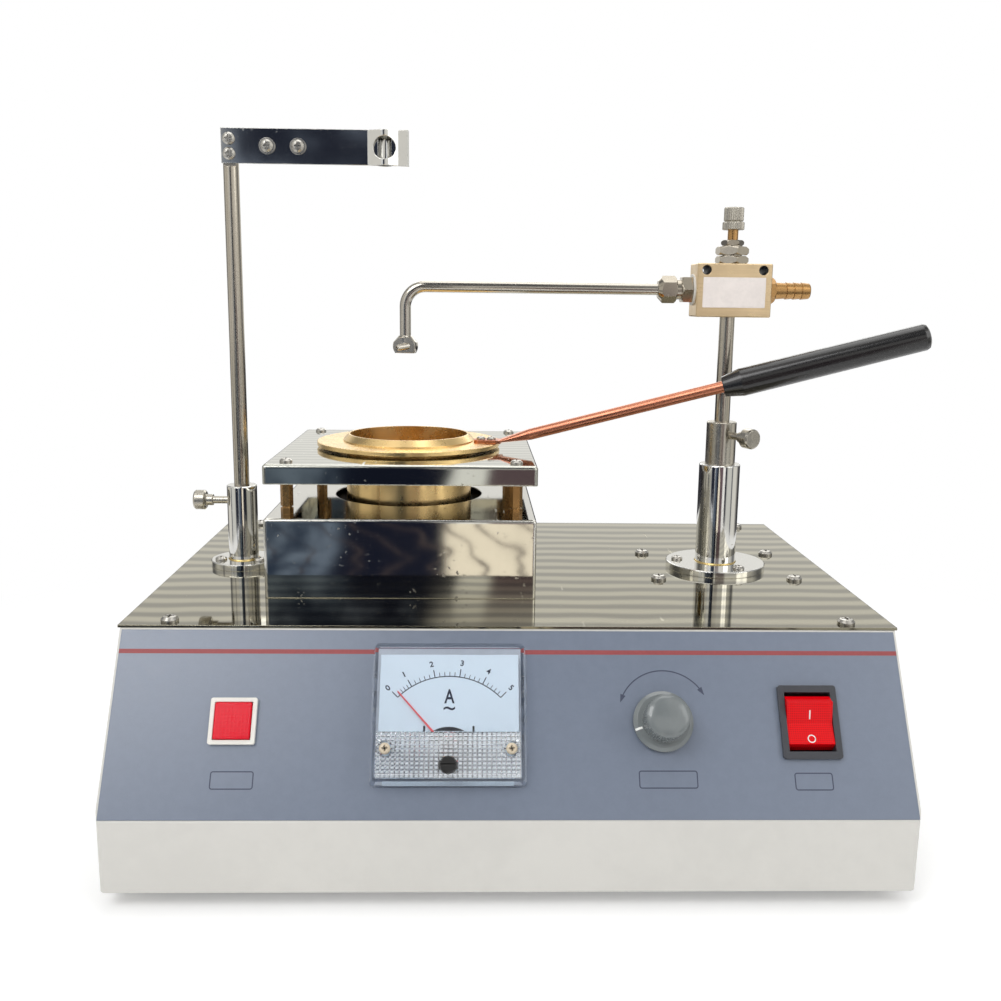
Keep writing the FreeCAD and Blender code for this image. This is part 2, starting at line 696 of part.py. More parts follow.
def base_plate():
    """Flat bottom sheet on the casing's lips, with vent slots and four studs for the board."""
    half = CASE_WIDTH / 2 - CASE_SHEET - LOOSE_FIT
    plate = box(-half, half, CASE_SHEET + LOOSE_FIT, CASE_DEPTH - CASE_SHEET - LOOSE_FIT, LIP_BOTTOM, BASE_TOP)
    low, high = LIP_BOTTOM - 1, BASE_TOP + 1
    for x, y in base_screw_places():
        plate = plate.cut(shank_hole(M3_SCREW, low, high, x, y))
    for x, y in foot_places():
        plate = plate.cut(cylinder(FOOT_SCREW_RADIUS + SCREW_FIT, low, high, x, y))
    first = -VENT_PITCH * (VENT_SLOTS - 1) / 2
    for k in range(VENT_SLOTS):
        slot = block(VENT_WIDTH, VENT_LENGTH, low, high, CUP_X / 2 + first + k * VENT_PITCH, CASE_DEPTH / 3)
        plate = plate.cut(slot)
    for x, y in board_post_places():
        plate = plate.fuse(cylinder(BOARD_POST_RADIUS, BASE_TOP, BASE_TOP + BOARD_POST_HEIGHT, x, y))
    keep("base_plate", plate)


def board_post_places():
    return corners(BOARD_WIDTH / 2 - BOARD_POST_INSET, BOARD_DEPTH / 2 - BOARD_POST_INSET, BOARD_X, BOARD_Y)


def feet():
    """Four tapered rubber feet; gives back the screw in each one's recess."""
    pads = []
    screws = []
    head = M4_SCREW[1] + REST_GAP
    for x, y in foot_places():
        pad = turned([
            (0, FOOT_RECESS_DEPTH), (head, FOOT_RECESS_DEPTH), (head, 0), (FOOT_RADIUS - FOOT_TAPER, 0),
            (FOOT_RADIUS, LIP_BOTTOM - FOOT_TAPER), (FOOT_RADIUS, LIP_BOTTOM), (0, LIP_BOTTOM),
        ], x, y)
        pads.append(pad.cut(shank_hole(M4_SCREW, 0, LIP_BOTTOM + 1, x, y)))
        screw = along(pan_screw(M4_SCREW, FOOT_SCREW_LENGTH), Vector(x, y, FOOT_RECESS_DEPTH), -UP)
        screws.append(screw)
    keep("rubber_feet", *pads)
    return screws


def top_plate():
    """Thin polished plate on the casing, drilled for the post, the bracket and the lead of the heater."""
    half = CASE_WIDTH / 2 + TOP_OVERHANG
    plate = box(-half, half, PANEL_RUN - TOP_OVERHANG, CASE_DEPTH + TOP_OVERHANG, SHELL_TOP, CASE_TOP)
    low, high = SHELL_TOP - 1, CASE_TOP + 1
    for x, y in top_screw_places() + bracket_screw_places():
        plate = plate.cut(shank_hole(M4_SCREW, low, high, x, y))
    for x, y in igniter_flange_places() + stand_flange_places():
        plate = plate.cut(shank_hole(M3_SCREW, low, high, x, y))
    plate = plate.cut(cylinder(DRIVE_SHAFT_RADIUS + REST_GAP, low, high, IGNITER_X, IGNITER_Y))
    keep("top_plate", plate)


def plate_screws(foot_screws):
    """The larger screws of the feet and the top plate, and every small screw of the fixed body."""
    large = foot_screws + [
        moved(pan_screw(M4_SCREW, TOP_SCREW_LENGTH), x, y, CASE_TOP)
        for x, y in top_screw_places() + bracket_screw_places()
    ]
    small = [
        moved(pan_screw(M3_SCREW, FLANGE_SCREW_LENGTH), x, y, FLANGE_TOP)
        for x, y in igniter_flange_places() + stand_flange_places()
    ]
    small += [moved(pan_screw(M3_SCREW, FLANGE_SCREW_LENGTH), x, y, COVER_TOP) for x, y in standoff_places()]
    small += [
        along(pan_screw(M3_SCREW, BASE_SCREW_LENGTH), Vector(x, y, FOOT_HEIGHT), -UP)
        for x, y in base_screw_places()
    ]
    face = CASE_DEPTH + INLET_FLANGE_SHEET
    small += [
        along(pan_screw(M3_SCREW, INLET_SCREW_LENGTH), Vector(x, face, INLET_Z), BACK)
        for x in inlet_screw_places()
    ]
    keep("m4_screws", *large)
    keep("m3_screws", *small)


def overlay():
    """The printed front sheet on the sloped panel."""
    under_plate = (SHELL_TOP - STRIP_TOP) / math.sin(math.radians(PANEL_ANGLE))
    length = under_plate - 2 * OVERLAY_MARGIN
    sheet = block(CASE_WIDTH - 2 * OVERLAY_MARGIN, length, 0, OVERLAY_SHEET)
    sheet = on_panel(sheet, 0, under_plate / 2)
    for cutter in panel_cutters():
        sheet = sheet.cut(cutter)
    keep("front_overlay", sheet)


# ---- panel fittings ----------------------------------------------------------------------------------
def meter():
    """Moving-iron panel meter: black housing, dial, needle, tapered clear cover, zero adjuster."""
    def place(shape):
        return on_panel(shape, METER_X, METER_UP)

    base_top = OVERLAY_FACE + METER_BASE_SHEET
    inner_width = METER_WIDTH - 2 * METER_WALL
    inner_height = METER_HEIGHT - 2 * METER_WALL
    taper = METER_BASE_SHEET / (METER_RISE - METER_WALL) * (METER_WIDTH - METER_FRONT_WIDTH)
    fit = taper + 2 * LOOSE_FIT
    base = rounded_block(inner_width - fit, inner_height - fit, OVERLAY_FACE, base_top, METER_CORNER / 2)
    housing = base.fuse(cylinder(METER_BARREL_RADIUS, -METER_BARREL_DEPTH, OVERLAY_FACE))
    screw_y = METER_SCREW_UP - METER_UP
    dial_middle = METER_BOTTOM + DIAL_LOW_EDGE + DIAL_HEIGHT / 2 - METER_UP
    dial_low = base_top + DIAL_STANDOFF
    for side in (-1, 1):
        housing = housing.fuse(cylinder(DIAL_POST_RADIUS, base_top, dial_low, side * DIAL_POST_X, dial_middle))
        housing = housing.cut(shank_hole(M2_SCREW, OVERLAY_FACE - 1, base_top + 1, side * METER_SCREW_X, screw_y))
    pivot_y = METER_PIVOT_UP - METER_UP
    needle_low = DIAL_FACE + LOOSE_FIT
    pivot_top = needle_low + NEEDLE_SHEET + REST_GAP
    housing = housing.fuse(cylinder(METER_PIVOT_RADIUS, base_top, pivot_top, 0, pivot_y))
    keep("meter_housing", place(housing))

    dial = block(DIAL_WIDTH, DIAL_HEIGHT, dial_low, dial_low + DIAL_SHEET, 0, dial_middle)
    keep("meter_dial", place(dial))

    blade = extruded([
        Vector(-NEEDLE_WIDTH / 2, -NEEDLE_TAIL, needle_low), Vector(NEEDLE_WIDTH / 2, -NEEDLE_TAIL, needle_low),
        Vector(NEEDLE_TIP_WIDTH / 2, NEEDLE_LENGTH, needle_low),
        Vector(-NEEDLE_TIP_WIDTH / 2, NEEDLE_LENGTH, needle_low),
    ], Vector(0, 0, NEEDLE_SHEET))
    hub_low = base_top + REST_GAP
    needle = blade.fuse(cylinder(NEEDLE_HUB_RADIUS, hub_low, needle_low + NEEDLE_SHEET))
    needle = needle.cut(cylinder(METER_PIVOT_RADIUS + RUNNING_FIT, hub_low - 1, pivot_top + 1))
    needle.rotate(ORIGIN, UP, NEEDLE_REST_ANGLE)
    keep("meter_needle", place(moved(needle, 0, pivot_y, 0)))

    front = METER_FACE - METER_WALL
    outer = Part.makeLoft([
        rounded_outline(METER_WIDTH, METER_HEIGHT, OVERLAY_FACE, METER_CORNER),
        rounded_outline(METER_FRONT_WIDTH, METER_FRONT_HEIGHT, METER_FACE, METER_CORNER),
    ], True)
    hollow = Part.makeLoft([
        rounded_outline(inner_width, inner_height, OVERLAY_FACE - REST_GAP, METER_CORNER / 2),
        rounded_outline(
            METER_FRONT_WIDTH - 2 * METER_WALL, METER_FRONT_HEIGHT - 2 * METER_WALL, front, METER_CORNER / 2
        ),
    ], True)
    cover = outer.cut(hollow)
    for side in (-1, 1):
        x = side * METER_SCREW_X
        cover = cover.fuse(cylinder(METER_BOSS_RADIUS, base_top, front, x, screw_y))
        cover = cover.cut(shank_hole(M2_SCREW, base_top - 1, METER_FACE + 1, x, screw_y))
        cover = cover.cut(cylinder(M2_SCREW[1] + LOOSE_FIT, METER_FACE - METER_WALL, METER_FACE + 1, x, screw_y))
    adjuster_y = ADJUSTER_UP - METER_UP
    cover = cover.cut(cylinder(ADJUSTER_RADIUS + RUNNING_FIT, front - 1, METER_FACE + 1, 0, adjuster_y))
    keep("meter_cover", place(cover))

    keep("meter_screws", *[
        place(moved(pan_screw(M2_SCREW, METER_RISE - METER_WALL), side * METER_SCREW_X, screw_y, front))
        for side in (-1, 1)
    ])

    flange = ADJUSTER_RADIUS + ADJUSTER_FLANGE
    adjuster = turned([
        (0, front - REST_GAP - 1.6), (flange, front - REST_GAP - 1.6), (flange, front - REST_GAP),
        (ADJUSTER_RADIUS, front - REST_GAP), (ADJUSTER_RADIUS, METER_FACE + ADJUSTER_PROUD),
        (0, METER_FACE + ADJUSTER_PROUD),
    ])
    slot_low = METER_FACE - METER_WALL / 2
    adjuster = adjuster.cut(block(2 * flange, ADJUSTER_SLOT, slot_low, METER_FACE + 2 * ADJUSTER_PROUD))
    keep("zero_adjuster", place(moved(adjuster, 0, adjuster_y, 0)))


def scan_button():
    """Square push button: a bezel with its body behind the panel, and the cap that travels in it."""
    def place(shape):
        return on_panel(shape, SCAN_X, FITTINGS_UP)

    mouth = SCAN_CAP + 2 * LOOSE_FIT
    body = mouth + 2 * SCAN_WALL
    housing = rounded_block(SCAN_BEZEL, SCAN_BEZEL, OVERLAY_FACE, SCAN_FACE, 1.0)
    housing = housing.fuse(block(body, body, -SCAN_BODY_DEPTH, OVERLAY_FACE))
    floor = SCAN_FACE + SCAN_CAP_PROUD - SCAN_CAP_DEPTH - SCAN_TRAVEL - REST_GAP
    housing = housing.cut(block(mouth, mouth, floor, SCAN_FACE + 1))
    keep("scan_button_housing", place(housing))
    top = SCAN_FACE + SCAN_CAP_PROUD
    cap = rounded_block(SCAN_CAP, SCAN_CAP, top - SCAN_CAP_DEPTH, top, 0.8)
    rim = [e for e in cap.Edges if e.BoundBox.ZMin > top - 0.01]
    keep("scan_button", place(cap.makeChamfer(0.5, rim)))


def heat_control():
    """Potentiometer with its bush, nut and shaft, and the fluted pointer knob."""
    def place(shape):
        return on_panel(shape, KNOB_X, FITTINGS_UP)

    pot = turned([
        (POT_SHAFT_RADIUS + RUNNING_FIT, -CASE_SHEET - POT_BODY_DEPTH + 2),
        (POT_SHAFT_RADIUS + RUNNING_FIT, OVERLAY_FACE + POT_BUSH_RISE),
        (POT_BUSH_RADIUS, OVERLAY_FACE + POT_BUSH_RISE), (POT_BUSH_RADIUS, -CASE_SHEET),
        (POT_BODY_RADIUS, -CASE_SHEET), (POT_BODY_RADIUS, -CASE_SHEET - POT_BODY_DEPTH),
        (0, -CASE_SHEET - POT_BODY_DEPTH), (0, -CASE_SHEET - POT_BODY_DEPTH + 2),
    ])
    nut = hexagon(POT_NUT_FLATS, OVERLAY_FACE, OVERLAY_FACE + POT_NUT_RISE)
    nut = nut.cut(cylinder(POT_SHAFT_RADIUS + RUNNING_FIT, 0, OVERLAY_FACE + POT_NUT_RISE))
    keep("heat_potentiometer", place(pot.fuse(nut)))
    low = OVERLAY_FACE + KNOB_GAP
    skirt = low + KNOB_SKIRT_RISE
    top = OVERLAY_FACE + KNOB_RISE
    shaft_top = top - 2.0
    shaft = cylinder(POT_SHAFT_RADIUS, -CASE_SHEET - POT_BODY_DEPTH + 2 + REST_GAP, shaft_top)
    keep("potentiometer_shaft", place(shaft))
    knob = turned([
        (0, low), (KNOB_SKIRT_RADIUS, low), (KNOB_SKIRT_RADIUS, skirt - 1.0), (KNOB_SKIRT_RADIUS - 1.6, skirt),
        (KNOB_RADIUS, skirt), (KNOB_TOP_RADIUS, top - 1.0), (KNOB_TOP_RADIUS - 1.0, top), (0, top),
    ])
    for k in range(KNOB_FLUTES):
        angle = 2 * math.pi * k / KNOB_FLUTES
        x, y = KNOB_RADIUS * math.cos(angle), KNOB_RADIUS * math.sin(angle)
        knob = knob.cut(cylinder(KNOB_FLUTE_RADIUS, skirt + 1.0, top - 2.2, x, y))
    knob = knob.cut(cylinder(KNOB_HOLLOW_RADIUS, low - 1, low + KNOB_HOLLOW_DEPTH))
    knob = knob.cut(cylinder(POT_SHAFT_RADIUS + SCREW_FIT, low - 1, shaft_top + SCREW_FIT))
    keep("heat_knob", place(knob))


def power_switch():
    """Rocker switch in its off position: the upper end stands proud, the lower one is pressed in."""
    def place(shape):
        return on_panel(shape, SWITCH_X, FITTINGS_UP)

    body_width = SWITCH_MOUTH_WIDTH + 2 * SWITCH_BODY_WALL
    body_height = SWITCH_MOUTH_HEIGHT + 2 * SWITCH_BODY_WALL
    housing = rounded_block(SWITCH_BEZEL_WIDTH, SWITCH_BEZEL_HEIGHT, OVERLAY_FACE, SWITCH_FACE, 1.2)
    housing = housing.fuse(block(body_width, body_height, -SWITCH_BODY_DEPTH, OVERLAY_FACE))
    housing = housing.cut(block(SWITCH_MOUTH_WIDTH, SWITCH_MOUTH_HEIGHT, -SWITCH_POCKET_DEPTH, SWITCH_FACE + 1))
    pin_half = SWITCH_MOUTH_WIDTH / 2 - LOOSE_FIT + ROCKER_PIN_LENGTH
    pin = Part.makeCylinder(ROCKER_PIN_RADIUS, 2 * pin_half, Vector(-pin_half, 0, -ROCKER_PIVOT_DEPTH), RIGHT)
    seat_half = pin_half + REST_GAP
    seat_base = Vector(-seat_half, 0, -ROCKER_PIVOT_DEPTH)
    seat = Part.makeCylinder(ROCKER_PIN_RADIUS + RUNNING_FIT, 2 * seat_half, seat_base, RIGHT)
    keep("power_switch_housing", place(housing.cut(seat)))

    half_width = SWITCH_MOUTH_WIDTH / 2 - LOOSE_FIT
    outline = [
        (0.45 - ROCKER_HALF, -ROCKER_END_LOW), (ROCKER_END_SLOPE - ROCKER_HALF, ROCKER_EDGE_RISE),
        (0, ROCKER_DIP), (ROCKER_HALF - ROCKER_END_SLOPE, ROCKER_EDGE_RISE), (ROCKER_HALF - 0.45, -ROCKER_END_LOW),
        (ROCKER_HALF - 0.8, -ROCKER_SIDE_DROP), (0, -ROCKER_KEEL_DROP), (0.8 - ROCKER_HALF, -ROCKER_SIDE_DROP),
    ]
    rocker = extruded([Vector(-half_width, y, z) for y, z in outline], Vector(2 * half_width, 0, 0))
    rocker = rocker.fuse(pin)
    rocker.rotate(Vector(0, 0, -ROCKER_PIVOT_DEPTH), RIGHT, ROCKER_TILT)
    keep("power_rocker", place(rocker))


# ---- cup heater -------------------------------------------------------------------------------------
def folded_lid(width, depth, z0, z1, sheet, fold, hole):
    """A shallow sheet-metal tray, open below, with rounded folds and a round hole in its top."""
    solid = block(width, depth, z0, z1, CUP_X, CUP_Y)
    low = [e for e in solid.Edges if e.BoundBox.ZMax > z0 + 0.01]
    solid = solid.makeFillet(fold, low)
    inner = block(width - 2 * sheet, depth - 2 * sheet, z0 - 1, z1 - sheet, CUP_X, CUP_Y)
    return solid.cut(inner).cut(cylinder(hole, z0, z1 + 1, CUP_X, CUP_Y))


def heater():
    """Heater box on the top plate, the plate and former inside it, and the cover on standoffs."""
    lid = folded_lid(BOX_WIDTH, BOX_DEPTH, CASE_TOP, BOX_TOP, BOX_SHEET, BOX_FOLD, BOX_HOLE_RADIUS)
    cover_low = COVER_TOP - COVER_SKIRT
    cover = folded_lid(
        COVER_WIDTH, COVER_DEPTH, cover_low, COVER_TOP, COVER_SHEET, COVER_FOLD, COVER_HOLE_RADIUS
    )
    standoffs = []
    for x, y in standoff_places():
        lid = lid.cut(shank_hole(M3_SCREW, BOX_TOP - 2 * BOX_SHEET, BOX_TOP + 1, x, y))
        cover = cover.cut(shank_hole(M3_SCREW, COVER_TOP - 2 * COVER_SHEET, COVER_TOP + 1, x, y))
        post = hexagon(STANDOFF_FLATS, BOX_TOP, BOX_TOP + STANDOFF_HEIGHT, x, y)
        neck_low = BOX_TOP + STANDOFF_NECK_UP
        ring = cylinder(STANDOFF_FLATS, neck_low, neck_low + STANDOFF_NECK_HEIGHT, x, y)
        ring = ring.cut(cylinder(STANDOFF_NECK_RADIUS, neck_low, neck_low + STANDOFF_NECK_HEIGHT, x, y))
        post = post.cut(ring).fuse(cylinder(M3_SCREW[0], BOX_TOP - STANDOFF_STUD, BOX_TOP, x, y))
        tapped = BOX_TOP + STANDOFF_HEIGHT - FLANGE_SCREW_LENGTH
        standoffs.append(post.cut(shank_hole(M3_SCREW, tapped, COVER_TOP, x, y)))
    keep("heater_box", lid)
    keep("heater_cover", cover)
    keep("cover_standoffs", *standoffs)

    former_top = HEAT_FACE - HEAT_PLATE_HEIGHT
    plate = turned([
        (0, former_top), (HEAT_PLATE_RADIUS, former_top), (HEAT_PLATE_RADIUS, HEAT_FACE - 1.0),
        (HEAT_PLATE_RADIUS - 1.0, HEAT_FACE), (0, HEAT_FACE),
    ], CUP_X, CUP_Y)
    keep("heater_plate", plate)

    former_low = former_top - FORMER_HEIGHT
    former = cylinder(FORMER_RADIUS, former_low, former_top, CUP_X, CUP_Y)
    coils = []
    for k in range(FORMER_GROOVES):
        inner = FORMER_FIRST_GROOVE + k * FORMER_GROOVE_PITCH
        outer = inner + FORMER_GROOVE_WIDTH
        groove = cylinder(outer, former_top - FORMER_GROOVE_DEPTH, former_top, CUP_X, CUP_Y)
        groove = groove.cut(cylinder(inner, former_top - FORMER_GROOVE_DEPTH, former_top, CUP_X, CUP_Y))
        former = former.cut(groove)
        ring = Part.makeTorus(
            (inner + outer) / 2, FORMER_GROOVE_WIDTH / 2 - REST_GAP,
            Vector(CUP_X, CUP_Y, former_top - FORMER_GROOVE_DEPTH + FORMER_GROOVE_WIDTH / 2), UP,
        )
        coils.append(ring)
    former = former.fuse(cylinder(FORMER_FOOT_RADIUS, CASE_TOP, former_low, CUP_X, CUP_Y))
    keep("heater_former", former)
    keep("heating_coils", *coils)


# ---- test cup ------------------------------------------------------------------------------------------
def cup():
    """Turned brass cup with its chamfered rim and wide flange."""
    wall = CUP_BORE_RADIUS + CUP_WALL
    rim_base = CUP_BORE_RADIUS + CUP_RIM_BASE
    flange_low = CUP_FLANGE_TOP - CUP_FLANGE_HEIGHT
    body = turned([
        (0, HEAT_FACE), (wall - CUP_EDGE, HEAT_FACE), (wall, HEAT_FACE + CUP_EDGE), (wall, flange_low),
        (CUP_FLANGE_RADIUS - 0.3, flange_low), (CUP_FLANGE_RADIUS, flange_low + 0.3),
        (CUP_FLANGE_RADIUS, CUP_FLANGE_TOP - 0.3), (CUP_FLANGE_RADIUS - 0.3, CUP_FLANGE_TOP),
        (rim_base, CUP_FLANGE_TOP), (rim_base, CUP_FLANGE_TOP + 0.6),
        (CUP_BORE_RADIUS + CUP_RIM_LAND, CUP_TOP), (CUP_BORE_RADIUS, CUP_TOP),
        (CUP_BORE_RADIUS, HEAT_FACE + CUP_FLOOR), (0, HEAT_FACE + CUP_FLOOR),
    ], CUP_X, CUP_Y)
    for from_axis in TAB_SCREWS:
        place = handle_point(from_axis, 0)
        body = body.cut(shank_hole(M2_SCREW, flange_low - 1, CUP_TOP, place.x, place.y))
    keep("test_cup", body)


def handle():
    """Copper rod flattened into a tab on the flange, with a moulded grip on its far end."""
    middle = CUP_FLANGE_TOP + TAB_SHEET / 2
    tab_top = CUP_FLANGE_TOP + TAB_SHEET
    tab = box(TAB_START, TAB_END, -TAB_WIDTH / 2, TAB_WIDTH / 2, CUP_FLANGE_TOP, tab_top)
    ends = [e for e in tab.Edges if e.BoundBox.XMax < TAB_START + 0.01 and e.BoundBox.ZLength > TAB_SHEET / 2]
    tab = tab.makeFillet(TAB_WIDTH / 3, ends)
    rise = math.radians(HANDLE_RISE)
    out = Vector(math.cos(rise), 0, math.sin(rise))
    bend = Vector(TAB_END, 0, middle)
    flat = Part.Ellipse(ORIGIN, TAB_WIDTH / 2, TAB_SHEET / 2)
    flat = Part.Wire(flat.toShape())
    flat.Placement = FreeCAD.Placement(bend - RIGHT * 2.0, FreeCAD.Rotation(BACK, -UP, RIGHT, "ZXY"))
    ring = Part.Wire(Part.Circle(bend + out * HANDLE_TRANSITION, out, HANDLE_RADIUS).toShape())
    neck = Part.makeLoft([flat, ring], True)
    start = bend + out * HANDLE_TRANSITION
    rod_end = GRIP_START + ROD_IN_GRIP
    rod = Part.makeCylinder(HANDLE_RADIUS, rod_end - HANDLE_TRANSITION, start, out)
    arm = tab.fuse(neck).fuse(rod)
    for from_axis in TAB_SCREWS:
        arm = arm.cut(shank_hole(M2_SCREW, CUP_FLANGE_TOP - 1, tab_top + 1, from_axis, 0))
    keep("cup_handle", turn_to_handle(arm))

    grip = turned([
        (0, 0), (GRIP_NOSE_RADIUS, 0), (GRIP_RADIUS, GRIP_NOSE_LENGTH),
        (GRIP_END_RADIUS, GRIP_LENGTH - GRIP_END_ROUND),
        (GRIP_END_RADIUS - GRIP_END_ROUND / 3, GRIP_LENGTH - GRIP_END_ROUND / 3),
        (GRIP_END_RADIUS - GRIP_END_ROUND, GRIP_LENGTH), (0, GRIP_LENGTH),
    ])
    grip = grip.cut(cylinder(HANDLE_RADIUS + SCREW_FIT, -1, ROD_IN_GRIP + SCREW_FIT))
    keep("handle_grip", turn_to_handle(along(grip, bend + out * GRIP_START, out)))

    keep("handle_screws", *[
        moved(pan_screw(M2_SCREW, TAB_SCREW_LENGTH), p.x, p.y, p.z)
        for p in (handle_point(from_axis, tab_top) for from_axis in TAB_SCREWS)
    ])


def turn_to_handle(shape):
    """A shape drawn in the plane y = 0 out from the cup's axis, turned to the handle's direction."""
    copy = shape.copy()
    copy.rotate(ORIGIN, UP, HANDLE_AZIMUTH)
    return moved(copy, CUP_X, CUP_Y, 0)


# ---- posts ------------------------------------------------------------------------------------------------
def post_flange(radius, places, x, y):
    """A round flange on the top plate, bored for the sleeve's spigot."""
    flange = turned([
        (0, CASE_TOP), (radius, CASE_TOP), (radius, FLANGE_TOP - 0.4), (radius - 0.4, FLANGE_TOP), (0, FLANGE_TOP),
    ], x, y)
    for sx, sy in places:
        flange = flange.cut(shank_hole(M3_SCREW, CASE_TOP - 1, FLANGE_TOP + 1, sx, sy))
    return flange


def thumb_hole(radius, x, y, z, azimuth):
    """The tapped cross hole that a thumb screw runs in."""
    angle = math.radians(azimuth)
    direction = Vector(math.cos(angle), math.sin(angle), 0)
    return Part.makeCylinder(THUMB_SHANK_RADIUS + RUNNING_FIT, radius + 1, Vector(x, y, z), direction)


def thumb_at(radius, x, y, z, azimuth):
    """A thumb screw whose tip nearly meets the rod and whose collar stands out of the sleeve."""
    angle = math.radians(azimuth)
    direction = Vector(math.cos(angle), math.sin(angle), 0)
    tip = ROD_RADIUS + THUMB_TIP_GAP
    reach = radius + THUMB_SHANK_OUT - tip
    return along(thumb_screw(reach), Vector(x, y, z) + direction * tip, direction)


def igniter_post():
    """Fixed flange and sleeve, the hub that turns in it, and the thumb screw in the hub."""
    flange = post_flange(IGNITER_FLANGE_RADIUS, igniter_flange_places(), IGNITER_X, IGNITER_Y)
    flange = flange.cut(cylinder(SPIGOT_RADIUS + SCREW_FIT, CASE_TOP - 1, FLANGE_TOP + 1, IGNITER_X, IGNITER_Y))
    keep("igniter_flange", flange)
    bore = HUB_RADIUS + RUNNING_FIT
    shaft_bore = DRIVE_SHAFT_RADIUS + REST_GAP
    sleeve = turned([
        (shaft_bore, CASE_TOP), (SPIGOT_RADIUS, CASE_TOP), (SPIGOT_RADIUS, FLANGE_TOP), (SLEEVE_RADIUS, FLANGE_TOP),
        (SLEEVE_RADIUS, SLEEVE_TOP - 0.5), (SLEEVE_RADIUS - 0.5, SLEEVE_TOP), (bore, SLEEVE_TOP),
        (bore, SLEEVE_FLOOR_TOP), (shaft_bore, SLEEVE_FLOOR_TOP),
    ], IGNITER_X, IGNITER_Y)
    keep("igniter_sleeve", sleeve)

    rod_bore = ROD_RADIUS + RUNNING_FIT
    shaft_seat = DRIVE_SHAFT_RADIUS + SCREW_FIT
    hub = turned([
        (shaft_seat, HUB_BOTTOM), (HUB_RADIUS, HUB_BOTTOM), (HUB_RADIUS, HUB_TOP - 0.5), (HUB_RADIUS - 0.5, HUB_TOP),
        (rod_bore, HUB_TOP), (rod_bore, HUB_BOTTOM + HUB_PLUG), (0, HUB_BOTTOM + HUB_PLUG),
        (0, HUB_BOTTOM + DRIVE_SHAFT_ENGAGE + SCREW_FIT), (shaft_seat, HUB_BOTTOM + DRIVE_SHAFT_ENGAGE + SCREW_FIT),
    ], IGNITER_X, IGNITER_Y)
    hub = hub.cut(thumb_hole(HUB_RADIUS, IGNITER_X, IGNITER_Y, HUB_THUMB_UP, THUMB_AZIMUTH))
    keep("igniter_hub", hub)
    keep("igniter_thumb_screw", thumb_at(HUB_RADIUS, IGNITER_X, IGNITER_Y, HUB_THUMB_UP, THUMB_AZIMUTH))

    bracket_top = SHELL_TOP
    bracket_low = bracket_top - BRACKET_SHEET
    shaft_low = bracket_low - MOTOR_GEARBOX_HEIGHT / 2
    shaft = cylinder(DRIVE_SHAFT_RADIUS, shaft_low, HUB_BOTTOM + DRIVE_SHAFT_ENGAGE, IGNITER_X, IGNITER_Y)
    keep("drive_shaft", shaft)

    width = BRACKET_SCREW_X + 2 * BRACKET_MARGIN
    depth = BRACKET_SCREW_Y + 2 * BRACKET_MARGIN
    bracket = block(width, depth, bracket_low, bracket_top, IGNITER_X, IGNITER_Y)
    bracket = bracket.cut(cylinder(DRIVE_SHAFT_RADIUS + REST_GAP, bracket_low, bracket_top, IGNITER_X, IGNITER_Y))
    for x, y in bracket_screw_places():
        bracket = bracket.cut(shank_hole(M4_SCREW, bracket_low - 1, bracket_top + 1, x, y))
    for x, y in igniter_flange_places():
        bracket = bracket.cut(shank_hole(M3_SCREW, bracket_low - 1, bracket_top + 1, x, y))
    keep("motor_bracket", bracket)

    gearbox_low = bracket_low - MOTOR_GEARBOX_HEIGHT
    motor = block(MOTOR_GEARBOX, MOTOR_GEARBOX, gearbox_low, bracket_low, IGNITER_X, IGNITER_Y)
    motor = motor.cut(cylinder(
        DRIVE_SHAFT_RADIUS + RUNNING_FIT, shaft_low - REST_GAP, bracket_low + 1, IGNITER_X, IGNITER_Y
    ))
    motor = motor.fuse(cylinder(MOTOR_CAN_RADIUS, gearbox_low - MOTOR_CAN_HEIGHT, gearbox_low, IGNITER_X, IGNITER_Y))
    for x, y in igniter_flange_places() + bracket_screw_places():
        motor = motor.cut(shank_hole(M4_SCREW, CASE_TOP - TOP_SCREW_LENGTH - 1, bracket_low + 1, x, y))
    keep("scan_motor", motor)


